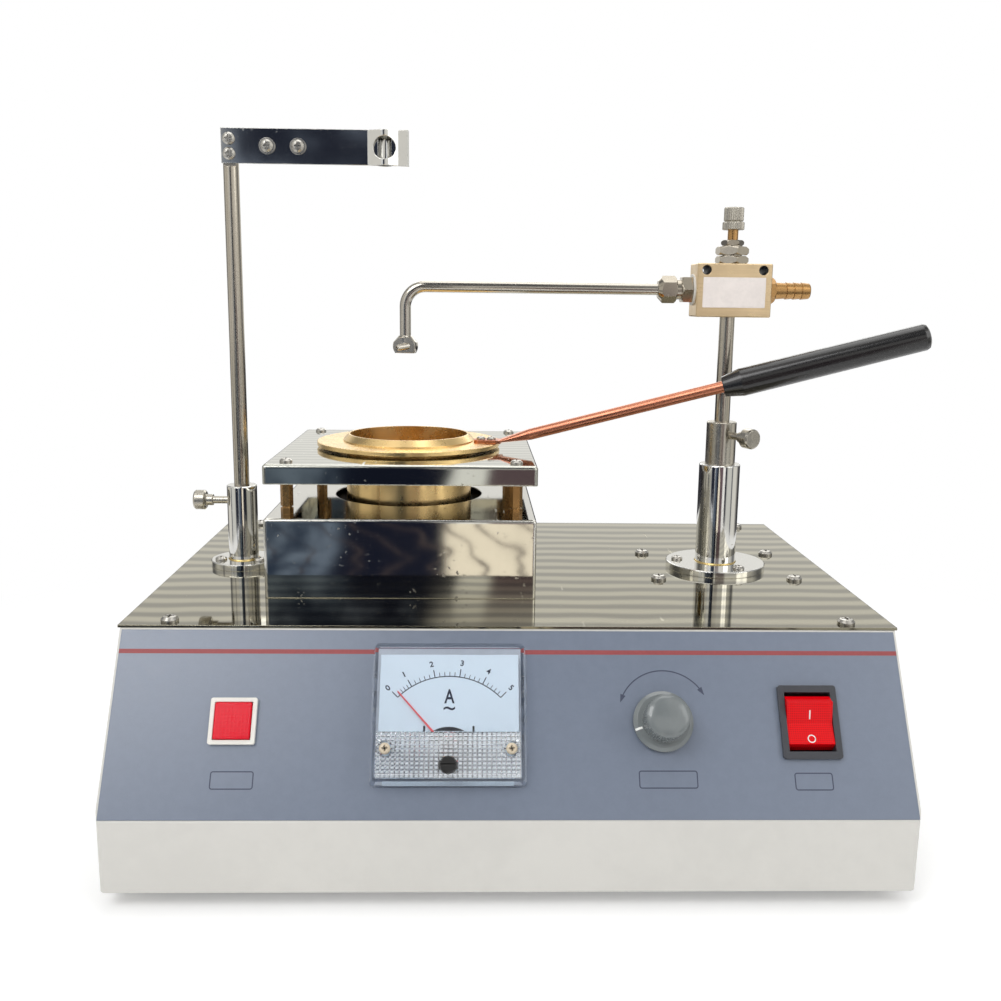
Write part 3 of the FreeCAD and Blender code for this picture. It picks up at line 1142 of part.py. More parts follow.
def igniter_head():
    """The rod with the needle valve, the gas tube with its nozzle, and the hose barb."""
    keep("igniter_rod", cylinder(ROD_RADIUS, IGNITER_ROD_BOTTOM, VALVE_BOTTOM + PORT_DEPTH, IGNITER_X, IGNITER_Y))
    stem_low = GAS_UP + STEM_SEAT

    body = block(VALVE_WIDTH, VALVE_DEPTH, VALVE_BOTTOM, VALVE_TOP, VALVE_X, IGNITER_Y)
    body = body.makeChamfer(VALVE_EDGE, body.Edges)
    for side in (-1, 1):
        hole_base = Vector(
            VALVE_X + side * VALVE_HOLE_SPACING / 2, IGNITER_Y - VALVE_DEPTH, VALVE_TOP - VALVE_HOLE_DROP
        )
        body = body.cut(Part.makeCylinder(VALVE_HOLE_RADIUS, 2 * VALVE_DEPTH, hole_base, BACK))
    port = PORT_RADIUS + SCREW_FIT
    for x, direction in ((VALVE_LEFT, RIGHT), (VALVE_RIGHT, -RIGHT)):
        depth = PORT_DEPTH + SCREW_FIT
        body = body.cut(Part.makeCylinder(port, depth + 1, Vector(x, IGNITER_Y, GAS_UP) - direction, direction))
    body = body.cut(cylinder(
        ROD_RADIUS + SCREW_FIT, VALVE_BOTTOM - 1, VALVE_BOTTOM + PORT_DEPTH + SCREW_FIT, IGNITER_X, IGNITER_Y
    ))
    body = body.cut(cylinder(port, VALVE_TOP - PORT_DEPTH, VALVE_TOP + 1, VALVE_X, IGNITER_Y))
    body = body.cut(cylinder(STEM_RADIUS + REST_GAP, stem_low - REST_GAP, VALVE_TOP, VALVE_X, IGNITER_Y))
    keep("valve_body", body)

    thread_low = VALVE_TOP + BONNET_HEX
    collar_low = thread_low + BONNET_THREAD
    collar_top = collar_low + BONNET_COLLAR
    bonnet = hex_nut(BONNET_FLATS, 0, BONNET_HEX).fuse(cylinder(PORT_RADIUS, SCREW_FIT - PORT_DEPTH, 0))
    bonnet = bonnet.fuse(cylinder(BONNET_THREAD_RADIUS, BONNET_HEX, BONNET_HEX + BONNET_THREAD))
    bonnet = moved(spun(bonnet, BONNET_TURN), VALVE_X, IGNITER_Y, VALVE_TOP)
    collar = spun(hex_nut(BONNET_COLLAR_FLATS, collar_low, collar_top), BONNET_COLLAR_TURN)
    bonnet = bonnet.fuse(moved(collar, VALVE_X, IGNITER_Y, 0))
    bonnet = bonnet.cut(cylinder(
        STEM_RADIUS + RUNNING_FIT, VALVE_TOP - PORT_DEPTH - 1, collar_top + 1, VALVE_X, IGNITER_Y
    ))
    keep("valve_bonnet", bonnet)
    nut_low = thread_low + (BONNET_THREAD - LOCKNUT_HEIGHT) / 2
    nut = hex_nut(BONNET_FLATS, 0, LOCKNUT_HEIGHT)
    nut = nut.cut(cylinder(BONNET_THREAD_RADIUS + SCREW_FIT, -1, LOCKNUT_HEIGHT + 1))
    keep("valve_locknut", moved(spun(nut, BONNET_TURN), VALVE_X, IGNITER_Y, nut_low))

    knob_low = collar_top + STEM_OUT
    knob_mid = knob_low + KNURL_RING
    knob_top = knob_mid + KNURL_GROOVE + KNURL_HEIGHT
    stem_top = knob_mid + KNURL_GROOVE + 2.0
    keep("valve_stem", cylinder(STEM_RADIUS, stem_low, stem_top, VALVE_X, IGNITER_Y))
    knob = turned([
        (0, knob_low), (KNURL_RING_RADIUS - 0.5, knob_low), (KNURL_RING_RADIUS, knob_low + 0.5),
        (KNURL_RING_RADIUS, knob_mid), (KNURL_RADIUS - 0.5, knob_mid), (KNURL_RADIUS - 0.5, knob_mid + KNURL_GROOVE),
        (KNURL_RADIUS, knob_mid + KNURL_GROOVE), (KNURL_RADIUS, knob_top - 0.6), (KNURL_RADIUS - 0.6, knob_top),
        (0, knob_top),
    ], VALVE_X, IGNITER_Y)
    knob = knob.cut(cylinder(STEM_RADIUS + SCREW_FIT, knob_low - 1, stem_top + SCREW_FIT, VALVE_X, IGNITER_Y))
    keep("valve_knob", knob)

    left_port = Vector(VALVE_LEFT, IGNITER_Y, GAS_UP)
    hex_end = CONNECTOR_HEX
    neck_end = hex_end + CONNECTOR_NECK + NUT_LENGTH / 2
    connector = spun(hex_nut(CONNECTOR_FLATS, 0, hex_end), CONNECTOR_TURN)
    connector = connector.fuse(cylinder(PORT_RADIUS, -PORT_DEPTH, 0))
    connector = connector.fuse(cylinder(CONNECTOR_NECK_RADIUS, hex_end, neck_end))
    tube_seat = TUBE_RADIUS + SCREW_FIT
    connector = connector.cut(cylinder(TUBE_BORE_RADIUS, -PORT_DEPTH - 1, neck_end + 1))
    connector = connector.cut(cylinder(tube_seat, hex_end, neck_end + 1))
    keep("tube_connector", along(connector, left_port, -RIGHT))

    nut_start = hex_end + CONNECTOR_NECK
    nut_end = nut_start + NUT_LENGTH
    corner = NUT_FLATS / math.sqrt(3)
    nut_shape = turned([
        (0, nut_start), (NUT_FLATS / 2, nut_start), (corner, nut_start + 0.8), (corner, nut_end - NUT_TAPER),
        (TUBE_RADIUS + 1.4, nut_end), (0, nut_end),
    ])
    nut = hexagon(NUT_FLATS, nut_start, nut_end).common(nut_shape)
    nut = nut.cut(cylinder(CONNECTOR_NECK_RADIUS + SCREW_FIT, nut_start - 1, neck_end + SCREW_FIT))
    nut = nut.cut(cylinder(tube_seat, nut_start, nut_end + 1))
    keep("compression_nut", along(nut, left_port, -RIGHT))

    tube_start = VALVE_LEFT - hex_end - SCREW_FIT
    keep("gas_tube", bent_tube(tube_start, TUBE_RADIUS).cut(bent_tube(tube_start + 1, TUBE_BORE_RADIUS)))
    nozzle()
    hose_barb()


def bent_tube(start_x, radius):
    """A round bar from start_x towards -X, bent down above the nozzle and ending in its neck."""
    bend_x = NOZZLE_X + TUBE_BEND
    straight = Part.makeCylinder(radius, start_x - bend_x, Vector(bend_x, IGNITER_Y, GAS_UP), RIGHT)
    section = Part.Face(Part.Wire(Part.Circle(Vector(bend_x, IGNITER_Y, GAS_UP), RIGHT, radius).toShape()))
    elbow = section.revolve(Vector(bend_x, IGNITER_Y, GAS_UP - TUBE_BEND), -BACK, 90)
    drop = cylinder(radius, NOZZLE_TOP - NOZZLE_NECK, GAS_UP - TUBE_BEND, NOZZLE_X, IGNITER_Y)
    return straight.fuse(elbow).fuse(drop)


def nozzle():
    """Ball-shaped burner head with a flat underside, a milled front and a thin jet screwed into it."""
    shoulder = NOZZLE_TOP - NOZZLE_NECK
    centre = shoulder - NOZZLE_SHOULDER
    low = centre - NOZZLE_FOOT
    reach = NOZZLE_RADIUS + 1
    ball = Part.makeSphere(NOZZLE_RADIUS, Vector(0, 0, centre))
    ball = ball.common(cylinder(reach, low, shoulder))
    waist = math.sqrt(NOZZLE_RADIUS ** 2 - NOZZLE_SHOULDER ** 2)
    head = ball.fuse(Part.makeCone(waist, TUBE_RADIUS + 0.3, NOZZLE_NECK, Vector(0, 0, shoulder), UP))
    head = head.cut(cylinder(TUBE_RADIUS + SCREW_FIT, shoulder - SCREW_FIT, NOZZLE_TOP + 1))
    head = head.cut(box(-reach, reach, -reach, -NOZZLE_FACET, low - 1, NOZZLE_TOP - 1.0))

    turn = math.radians(JET_TURN)
    out = Vector(-math.sin(turn), -math.cos(turn), -0.15).normalize()
    root = Vector(JET_OFFSET, -NOZZLE_FACET, centre - JET_DROP) - out * JET_SINK
    length = JET_SINK + JET_STANDOUT
    head = head.cut(Part.makeCylinder(JET_RADIUS + SCREW_FIT, length + reach, root, out))
    inward = Vector(-root.x, -root.y, 0)
    head = head.cut(Part.makeCylinder(JET_BORE_RADIUS, inward.Length, root, inward))
    head = head.cut(cylinder(TUBE_BORE_RADIUS, centre, shoulder + 1))
    keep("igniter_nozzle", moved(spun(head, NOZZLE_TURN), NOZZLE_X, IGNITER_Y, 0))
    jet = cylinder(JET_RADIUS, 0, length - 0.4).fuse(cylinder(JET_RADIUS - 0.4, length - 0.4, length))
    jet = along(jet.cut(cylinder(JET_BORE_RADIUS, -1, length + 1)), root, out)
    keep("nozzle_jet", moved(spun(jet, NOZZLE_TURN), NOZZLE_X, IGNITER_Y, 0))


def hose_barb():
    """Brass hose tail on the valve's right port, with saw-tooth ridges."""
    first = BARB_HEX + BARB_SHANK
    outline = [(BARB_BORE_RADIUS, BARB_HEX), (BARB_CREST_RADIUS, BARB_HEX), (BARB_ROOT_RADIUS, first)]
    for k in range(BARB_RIDGES):
        start = first + k * BARB_PITCH
        outline += [(BARB_CREST_RADIUS, start), (BARB_ROOT_RADIUS, start + BARB_PITCH)]
    end = first + BARB_RIDGES * BARB_PITCH
    outline += [(BARB_ROOT_RADIUS - 0.5, end + 0.5), (BARB_BORE_RADIUS, end + 0.5)]
    tail = turned(outline)
    body = hex_nut(BARB_FLATS, 0, BARB_HEX).fuse(cylinder(PORT_RADIUS, -PORT_DEPTH, 0))
    body = body.cut(cylinder(BARB_BORE_RADIUS, -PORT_DEPTH - 1, BARB_HEX + 1)).fuse(tail)
    keep("hose_barb", along(body, Vector(VALVE_RIGHT, IGNITER_Y, GAS_UP), RIGHT))


# ---- thermometer stand -------------------------------------------------------------------------------------
def stand():
    """Flange, sleeve and thumb screw on the left, and the rod that carries the clip arm."""
    flange = post_flange(STAND_FLANGE_RADIUS, stand_flange_places(), STAND_X, STAND_Y)
    spigot = STAND_SLEEVE_RADIUS - 2.0
    flange = flange.cut(cylinder(spigot + SCREW_FIT, CASE_TOP - 1, FLANGE_TOP + 1, STAND_X, STAND_Y))
    keep("stand_flange", flange)
    bore = ROD_RADIUS + RUNNING_FIT
    sleeve = turned([
        (0, CASE_TOP), (spigot, CASE_TOP), (spigot, FLANGE_TOP), (STAND_SLEEVE_RADIUS, FLANGE_TOP),
        (STAND_SLEEVE_RADIUS, STAND_SLEEVE_TOP - 0.5), (STAND_SLEEVE_RADIUS - 0.5, STAND_SLEEVE_TOP),
        (bore, STAND_SLEEVE_TOP), (bore, SLEEVE_FLOOR_TOP), (0, SLEEVE_FLOOR_TOP),
    ], STAND_X, STAND_Y)
    sleeve = sleeve.cut(thumb_hole(STAND_SLEEVE_RADIUS, STAND_X, STAND_Y, STAND_THUMB_UP, 180.0))
    keep("stand_sleeve", sleeve)
    keep("stand_thumb_screw", thumb_at(STAND_SLEEVE_RADIUS, STAND_X, STAND_Y, STAND_THUMB_UP, 180.0))

    rod = cylinder(ROD_RADIUS, STAND_ROD_BOTTOM, STAND_TOP, STAND_X, STAND_Y)
    flat_low = ARM_BOTTOM - STAND_FLAT_BELOW
    rod = rod.cut(box(
        STAND_X - 2 * ROD_RADIUS, STAND_X + 2 * ROD_RADIUS, ARM_BACK - 2 * ROD_RADIUS, ARM_BACK, flat_low, STAND_TOP + 1
    ))
    for drop in ARM_SCREW_DROPS:
        rod = rod.cut(cross_hole(STAND_X, STAND_TOP - drop))
    keep("stand_rod", rod)
    arm()


def cross_hole(x, z):
    """A hole along Y for one of the arm's screws."""
    return Part.makeCylinder(M3_SCREW[0] + SCREW_FIT, 4 * ROD_RADIUS, Vector(x, ARM_FRONT - ROD_RADIUS, z), BACK)


def tangent_place(foot):
    """Where a line from a foot on the grip plane touches the thermometer's circle in front of it."""
    reach = foot - CLIP_CENTRE
    if abs(abs(reach) - CLIP_BORE_RADIUS) < RUNNING_FIT / 2:
        return foot, 0.0
    angle = math.acos(CLIP_BORE_RADIUS / abs(reach))
    along_arm = CLIP_CENTRE + math.copysign(CLIP_BORE_RADIUS * math.cos(angle), reach)
    return along_arm, CLIP_BORE_RADIUS * math.sin(angle)


def clip_leaf(start, sheet, first, last):
    """A sheet leaf in front of the grip plane that bends round the thermometer's circle.

    It runs from start to the arm's end and ends in a flared lip. Its bend leaves the plane at first
    and comes back to it at last. All are measured from the arm's left end.
    """
    def place(along_arm, forward):
        return Vector(ARM_LEFT + along_arm, ARM_BACK - forward, 0)

    rise = place(*tangent_place(first))
    fall = place(*tangent_place(last))
    crest = Part.Arc(rise, place(CLIP_CENTRE, CLIP_BORE_RADIUS), fall).toShape()
    runs = [
        (place(start, 0), place(first, 0)), (place(first, 0), rise), (fall, place(last, 0)),
        (place(last, 0), place(CLIP_LIP_START, 0)), (place(CLIP_LIP_START, 0), place(ARM_LENGTH, CLIP_LIP_OUT)),
    ]
    edges = [Part.makeLine(a, b) for a, b in runs if a.distanceToPoint(b) > RUNNING_FIT]
    inner = Part.Wire(Part.sortEdges(edges + [crest])[0])
    leaf = inner.makeOffset2D(sheet, fill=True, openResult=True).extrude(Vector(0, 0, ARM_HEIGHT))
    return moved(leaf, 0, 0, ARM_BOTTOM)


def arm():
    """Clip arm: the long front leaf on the rod's flat, the short back leaf, and their screws."""
    front = clip_leaf(0.0, ARM_SHEET, CLIP_FOLD, CLIP_LIP_START)
    reach = 2 * (CLIP_BORE_RADIUS + ARM_SHEET)
    front = front.cut(Part.makeCylinder(
        CLIP_WINDOW_RADIUS, reach, Vector(ARM_LEFT + CLIP_CENTRE, ARM_BACK - reach, ARM_MIDDLE), BACK
    ))
    round_start = CLIP_CENTRE - CLIP_BORE_RADIUS
    back = clip_leaf(CLIP_START, CLIP_SHEET, round_start, round_start + 2 * CLIP_BORE_RADIUS)
    back = back.mirror(Vector(0, ARM_BACK, 0), BACK)
    clip_places = [(ARM_LEFT + CLIP_SCREW_FIRST + k * CLIP_SCREW_PITCH, ARM_MIDDLE) for k in (0, 1)]
    rod_places = [(STAND_X, STAND_TOP - drop) for drop in ARM_SCREW_DROPS]
    for x, z in clip_places:
        front = front.cut(cross_hole(x, z))
        back = back.cut(cross_hole(x, z))
    for x, z in rod_places:
        front = front.cut(cross_hole(x, z))
    keep("thermometer_arm", front)
    keep("clip_leaf", back)

    screw = pan_screw(M3_SCREW, ARM_SHEET + STAND_FLAT)
    hardware = [along(screw, Vector(x, ARM_FRONT, z), -BACK) for x, z in rod_places]
    clamp = ARM_SHEET + CLIP_SHEET
    for x, z in clip_places:
        face = Vector(x, ARM_FRONT, z)
        disc = washer(WASHER_RADIUS, M3_SCREW[0] + SCREW_FIT, WASHER_SHEET)
        bolt = pan_screw(M3_SCREW, clamp + WASHER_SHEET + CLIP_NUT_HEIGHT)
        nut = hex_nut(CLIP_NUT_FLATS, 0, CLIP_NUT_HEIGHT)
        nut = nut.cut(cylinder(M3_SCREW[0] + SCREW_FIT, -1, CLIP_NUT_HEIGHT + 1))
        hardware += [
            along(disc, face, -BACK), along(bolt, face - BACK * WASHER_SHEET, -BACK),
            along(nut, face + BACK * clamp, BACK),
        ]
    keep("arm_screws", *hardware)


# ---- inside and back ------------------------------------------------------------------------------------------
def electronics():
    """Control board on the base plate's studs, its transformer and heat sink, and the mains inlet."""
    low = BASE_TOP + BOARD_POST_HEIGHT
    top = low + BOARD_SHEET
    board = block(BOARD_WIDTH, BOARD_DEPTH, low, top, BOARD_X, BOARD_Y)
    keep("control_board", board)
    tw, td, th = TRANSFORMER
    x = BOARD_X - BOARD_WIDTH / 4
    core = block(tw, td / 2, top, top + th, x, BOARD_Y)
    coil = block(tw * 0.6, td, top + th * 0.2, top + th * 0.8, x, BOARD_Y)
    hw, hd, hh = HEATSINK
    hx = BOARD_X + BOARD_WIDTH / 4
    sink = block(hw, HEATSINK_FIN, top, top + hh, hx, BOARD_Y)
    pitch = (hw - HEATSINK_FIN) / (HEATSINK_FINS - 1)
    for k in range(HEATSINK_FINS):
        fin_x = hx - hw / 2 + HEATSINK_FIN / 2 + k * pitch
        sink = sink.fuse(block(HEATSINK_FIN, hd, top, top + hh, fin_x, BOARD_Y))
    keep("board_parts", core.fuse(coil), sink)
    inlet()


def inlet():
    """Mains appliance inlet in the back wall: a flanged body, its socket and three blades."""
    def chamfered(width, height, y0, y1):
        cut = INLET_CHAMFER
        outline = [
            (-width / 2, -height / 2), (width / 2, -height / 2), (width / 2, height / 2 - cut),
            (width / 2 - cut, height / 2), (cut - width / 2, height / 2), (-width / 2, height / 2 - cut),
        ]
        points = [Vector(INLET_X + x, y0, INLET_Z + z) for x, z in outline]
        return extruded(points, Vector(0, y1 - y0, 0))

    face = CASE_DEPTH + INLET_FLANGE_SHEET
    flange = box(
        INLET_X - INLET_FLANGE_WIDTH / 2, INLET_X + INLET_FLANGE_WIDTH / 2, CASE_DEPTH, face,
        INLET_Z - INLET_FLANGE_HEIGHT / 2, INLET_Z + INLET_FLANGE_HEIGHT / 2,
    )
    for x in inlet_screw_places():
        hole = Part.makeCylinder(M3_SCREW[0] + SCREW_FIT, INLET_FLANGE_SHEET + 2, Vector(x, CASE_DEPTH - 1, INLET_Z), BACK)
        flange = flange.cut(hole)
    body = box(
        INLET_X - INLET_BODY_WIDTH / 2, INLET_X + INLET_BODY_WIDTH / 2, CASE_DEPTH - INLET_BODY_DEPTH, CASE_DEPTH,
        INLET_Z - INLET_BODY_HEIGHT / 2, INLET_Z + INLET_BODY_HEIGHT / 2,
    )
    body = flange.fuse(body)
    floor = face - INLET_SOCKET_DEPTH
    body = body.cut(chamfered(INLET_SOCKET_WIDTH, INLET_SOCKET_HEIGHT, floor, face + 1))
    pins = []
    for dx, dz in ((-PIN_PITCH / 2, -PIN_LINE_DOWN), (0.0, PIN_EARTH_UP), (PIN_PITCH / 2, -PIN_LINE_DOWN)):
        x, z = INLET_X + dx, INLET_Z + dz
        pins.append(box(
            x - PIN_SHEET / 2, x + PIN_SHEET / 2, floor, floor + PIN_LENGTH, z - PIN_WIDTH / 2, z + PIN_WIDTH / 2
        ))
    keep("power_inlet", body)
    keep("inlet_pins", *pins)


def build():
    """Make every sub-part and bring the footprint's centre to the origin."""
    casing()
    base_plate()
    foot_screws = feet()
    top_plate()
    plate_screws(foot_screws)
    overlay()
    meter()
    scan_button()
    heat_control()
    power_switch()
    heater()
    cup()
    handle()
    igniter_post()
    igniter_head()
    stand()
    electronics()
    whole = Part.makeCompound(list(nodes.values())).BoundBox
    shift = Vector(-(whole.XMin + whole.XMax) / 2, -(whole.YMin + whole.YMax) / 2, 0)
    for name in nodes:
        nodes[name] = nodes[name].translated(shift)
    return shift


ORIGIN_SHIFT = build()
os.makedirs("parts", exist_ok=True)
for name, shape in nodes.items():
    shape.exportStep(f"parts/{name}.step")
print(len(nodes), "sub-parts; drawn frame moved by", ORIGIN_SHIFT)
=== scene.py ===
"""Open-cup flash point tester: finishes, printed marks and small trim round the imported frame.

Everything is in metres in the frame's own axes: +X is the operator's right, +Y runs from the
operator to the back and +Z is up, with z = 0 on the bench. Sizes in the classes are millimetres:
x from the casing's middle plane, y from its front face and z from the bench, or up and out along the
sloped panel.
"""

import logging
import math
from collections.abc import Callable, Sequence
from dataclasses import dataclass, field
from enum import Enum

import bmesh
import bpy
from mathutils import Matrix, Vector
from mathutils.bvhtree import BVHTree


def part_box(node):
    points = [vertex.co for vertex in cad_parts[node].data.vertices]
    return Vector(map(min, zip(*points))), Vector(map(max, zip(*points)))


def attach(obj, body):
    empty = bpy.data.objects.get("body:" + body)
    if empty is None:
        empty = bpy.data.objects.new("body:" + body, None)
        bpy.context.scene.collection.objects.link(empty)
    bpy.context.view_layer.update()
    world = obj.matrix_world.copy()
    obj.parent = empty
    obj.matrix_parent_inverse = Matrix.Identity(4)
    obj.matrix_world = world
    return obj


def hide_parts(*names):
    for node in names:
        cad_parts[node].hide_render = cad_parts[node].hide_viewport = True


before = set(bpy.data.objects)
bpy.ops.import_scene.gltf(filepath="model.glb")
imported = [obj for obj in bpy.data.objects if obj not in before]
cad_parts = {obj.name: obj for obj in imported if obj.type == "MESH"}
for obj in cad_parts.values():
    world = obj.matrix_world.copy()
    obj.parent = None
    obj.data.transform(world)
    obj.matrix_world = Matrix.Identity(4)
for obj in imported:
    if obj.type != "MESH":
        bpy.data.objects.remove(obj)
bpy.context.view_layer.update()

logging.basicConfig(level=logging.INFO, format="%(name)s: %(message)s")
LOG = logging.getLogger("flash_point_tester")

MM = 0.001
MERGE = 1e-7
SMOOTH_ANGLE = math.radians(35)
NOWHERE = (0.0, 0.0, 0.0)
UNCHANGED = (1.0, 1.0, 1.0)
WHITE = (1, 1, 1, 1)

Pair = tuple[float, float]
Triple = tuple[float, float, float]
Quad = tuple[float, float, float, float]
Rows = tuple[tuple[float, ...], ...]
Tree = bpy.types.NodeTree
Socket = bpy.types.NodeSocket
Material = bpy.types.Material
Drawing = bmesh.types.BMesh


def linear(red: float, green: float, blue: float) -> Quad:
    """A linear colour from display values of 0 to 255.

    Args:
        red, green, blue: the display values.

    Returns:
        The colour with full alpha.
    """
    def channel(value: float) -> float:
        """One channel's linear value."""
        share = value / 255
        return share / 12.92 if share <= 0.04045 else ((share + 0.055) / 1.055) ** 2.4

    return channel(red), channel(green), channel(blue), 1.0


# ---- places
CASE_LOW, CASE_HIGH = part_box("casing_shell")
DRAWN_ORIGIN = Vector(((CASE_LOW.x + CASE_HIGH.x) / 2, CASE_LOW.y, 0.0))
STRIP_TOP = 40.0
PANEL_RUN = 46.0
PANEL_RISE = 72.0
PANEL_ANGLE = math.atan2(PANEL_RISE, PANEL_RUN)


def drawn(x: float, y: float, z: float) -> Vector:
    """The place in the frame, in metres, of a drawn point in millimetres."""
    return DRAWN_ORIGIN + Vector((x, y, z)) * MM


def moved(place: Vector, turn: float = 0.0, axis: str = "Z") -> Matrix:
    """A move to a place in metres after a turn, in radians, about one axis."""
    return Matrix.Translation(place) @ Matrix.Rotation(turn, 4, axis)


def at(x: float, y: float, z: float = 0.0, turn: float = 0.0) -> Matrix:
    """A drawing place in mm, with a turn about Z in radians."""
    return moved(Vector((x, y, z)) * MM, turn)


def panel_place(x: float, up: float, out: float = 0.0, turn: float = 0.0) -> Matrix:
    """Where a piece drawn flat in XY goes on the sloped panel.

    Args:
        x: from the casing's middle, mm.
        up: up the slope from the front strip's top edge, mm.
        out: out from the painted face, mm.
        turn: turn about the panel's normal, radians.

    Returns:
        The matrix from flat metres to the frame.
    """
    base = drawn(x, up * math.cos(PANEL_ANGLE), STRIP_TOP + up * math.sin(PANEL_ANGLE))
    return moved(base, PANEL_ANGLE, "X") @ at(0, 0, out, turn)


# ---- shader trees
class Effect(Enum):
    """The effects that several materials share."""

    BRUSHING = "brushing"
    SCUFFS = "scuffs"
    HANDLING = "handling"
    GRAIN = "grain"
    CORNERS = "corner_wear"
    RINGS = "lathe_rings"


class Graph:
    """Adds nodes to one tree and joins their sockets."""

    def __init__(self, tree: Tree) -> None:
        """Starts on an existing tree."""
        self.tree = tree

    def node(self, kind: str, inputs: dict | None = None, **settings: object) -> bpy.types.Node:
        """Adds a shader node.

        Args:
            kind: the node's type without its ShaderNode prefix.
            inputs: values or sockets for its inputs, by name or index.
            **settings: properties of the node.

        Returns:
            The new node.
        """
        node = self.tree.nodes.new("ShaderNode" + kind)
        for name, value in settings.items():
            setattr(node, name, value)
        for key, value in (inputs or {}).items():
            self.feed(node.inputs[key], value)
        return node

    def feed(self, socket: Socket, value: object) -> None:
        """Joins a socket to another one, or sets its own value.

        Args:
            socket: the input.
            value: an output socket, or a plain value.
        """
        if isinstance(value, Socket):
            self.tree.links.new(value, socket)
        else:
            socket.default_value = value

    def mix(self, factor: object, first: object, second: object, blend: str = "MIX") -> Socket:
        """A colour between two colours."""
        inputs = {0: factor, 6: first, 7: second}
        return self.node("Mix", inputs, data_type="RGBA", blend_type=blend).outputs[2]

    def blend(self, factor: object, first: object, second: object) -> Socket:
        """A number between two numbers."""
        return self.node("Mix", {0: factor, 2: first, 3: second}, data_type="FLOAT").outputs[0]

    def math(self, operation: str, first: object, second: object = 0.0, clamp: bool = False) -> Socket:
        """The result of one sum."""
        return self.node("Math", {0: first, 1: second}, operation=operation, use_clamp=clamp).outputs[0]

    def vector(self, operation: str, output: str, first: object, second: object = NOWHERE) -> Socket:
        """One output of a sum on vectors."""
        return self.node("VectorMath", {0: first, 1: second}, operation=operation).outputs[output]

    def stretch(self, value: object, low: float, high: float, to_low: float = 0.0,
                to_high: float = 1.0) -> Socket:
        """A number moved from one range to another and held inside it."""
        inputs = {0: value, 1: low, 2: high, 3: to_low, 4: to_high}
        return self.node("MapRange", inputs, interpolation_type="SMOOTHSTEP").outputs[0]

    def scaled(self, vector: object, scale: tuple, turn: tuple = NOWHERE, place: tuple = NOWHERE) -> Socket:
        """A vector moved, turned and scaled by a Mapping node."""
        inputs = {"Vector": vector, "Location": place, "Rotation": turn, "Scale": scale}
        return self.node("Mapping", inputs).outputs[0]

    def noise(self, vector: object, scale: object, detail: float = 3.0, roughness: float = 0.55) -> Socket:
        """The value of a noise texture."""
        inputs = {"Vector": vector, "Scale": scale, "Detail": detail, "Roughness": roughness}
        return self.node("TexNoise", inputs).outputs[0]

    def ramp(self, value: object, stops: Rows) -> Socket:
        """A colour read along a line of tones.

        Args:
            value: the place along the line.
            stops: (place, red, green, blue) in display values.

        Returns:
            The colour there.
        """
        node = self.node("ValToRGB", {"Fac": value})
        elements = node.color_ramp.elements
        elements.remove(elements[-1])
        for number, (place, *color) in enumerate(stops):
            element = elements[0] if number == 0 else elements.new(place)
            element.position = place
            element.color = linear(*color)
        return node.outputs[0]

    def bump(self, height: object, distance: float, normal: Socket | None = None,
             strength: float = 1.0) -> Socket:
        """The normal of a surface raised by a height.

        Args:
            height: the height's socket, 0 to 1.
            distance: how far 1 stands out, in metres.
            normal: the normal under it, if not the mesh's own.
            strength: how much of it shows.

        Returns:
            The normal.
        """
        inputs = {"Height": height, "Distance": distance, "Strength": strength}
        if normal is not None:
            inputs["Normal"] = normal
        return self.node("Bump", inputs).outputs[0]

    def glow(self, color: object, strength: object) -> Socket:
        """The shader of a surface that gives light."""
        return self.node("Emission", {"Color": color, "Strength": strength}).outputs[0]

    def either(self, factor: object, first: Socket, second: Socket) -> Socket:
        """A shader between two shaders."""
        return self.node("MixShader", {0: factor, 1: first, 2: second}).outputs[0]


class Group(Graph):
    """A shared effect: a node group with named inputs and outputs."""

    def __init__(self, effect: Effect, **inputs: object) -> None:
        """Starts the group.

        Args:
            effect: which one, for its name.
            **inputs: each input's start value; a tuple makes a vector.
        """
        super().__init__(bpy.data.node_groups.new(effect.value, "ShaderNodeTree"))
        for key, value in inputs.items():
            self.socket(key, "INPUT", isinstance(value, tuple)).default_value = value
        self.source = self.tree.nodes.new("NodeGroupInput").outputs

    def socket(self, name: str, side: str, is_vector: bool) -> bpy.types.NodeTreeInterfaceSocket:
        """Adds a named socket on one side of the group."""
        kind = "NodeSocketVector" if is_vector else "NodeSocketFloat"
        return self.tree.interface.new_socket(name, in_out=side, socket_type=kind)

    def give(self, **outputs: Socket) -> Tree:
        """Ends the group.

        Args:
            **outputs: what it puts out, by name.

        Returns:
            The group's tree.
        """
        for key, value in outputs.items():
            self.socket(key, "OUTPUT", value.type == "VECTOR")
        target = self.tree.nodes.new("NodeGroupOutput")
        for key, value in outputs.items():
            self.feed(target.inputs[key], value)
        return self.tree


def brushing_group() -> Tree:
    """Long fine lines of a brushed or rolled metal: the vector is squeezed along the lines.

    Returns:
        The group, with a Lines value of 0 to 1.
    """
    g = Group(Effect.BRUSHING, Vector=NOWHERE, Fineness=1500.0)
    vector, fineness = g.source["Vector"], g.source["Fineness"]
    coarse = g.noise(vector, g.math("MULTIPLY", fineness, 0.22), 2.0)
    return g.give(Lines=g.blend(0.6, coarse, g.noise(vector, fineness, 3.0, 0.7)))


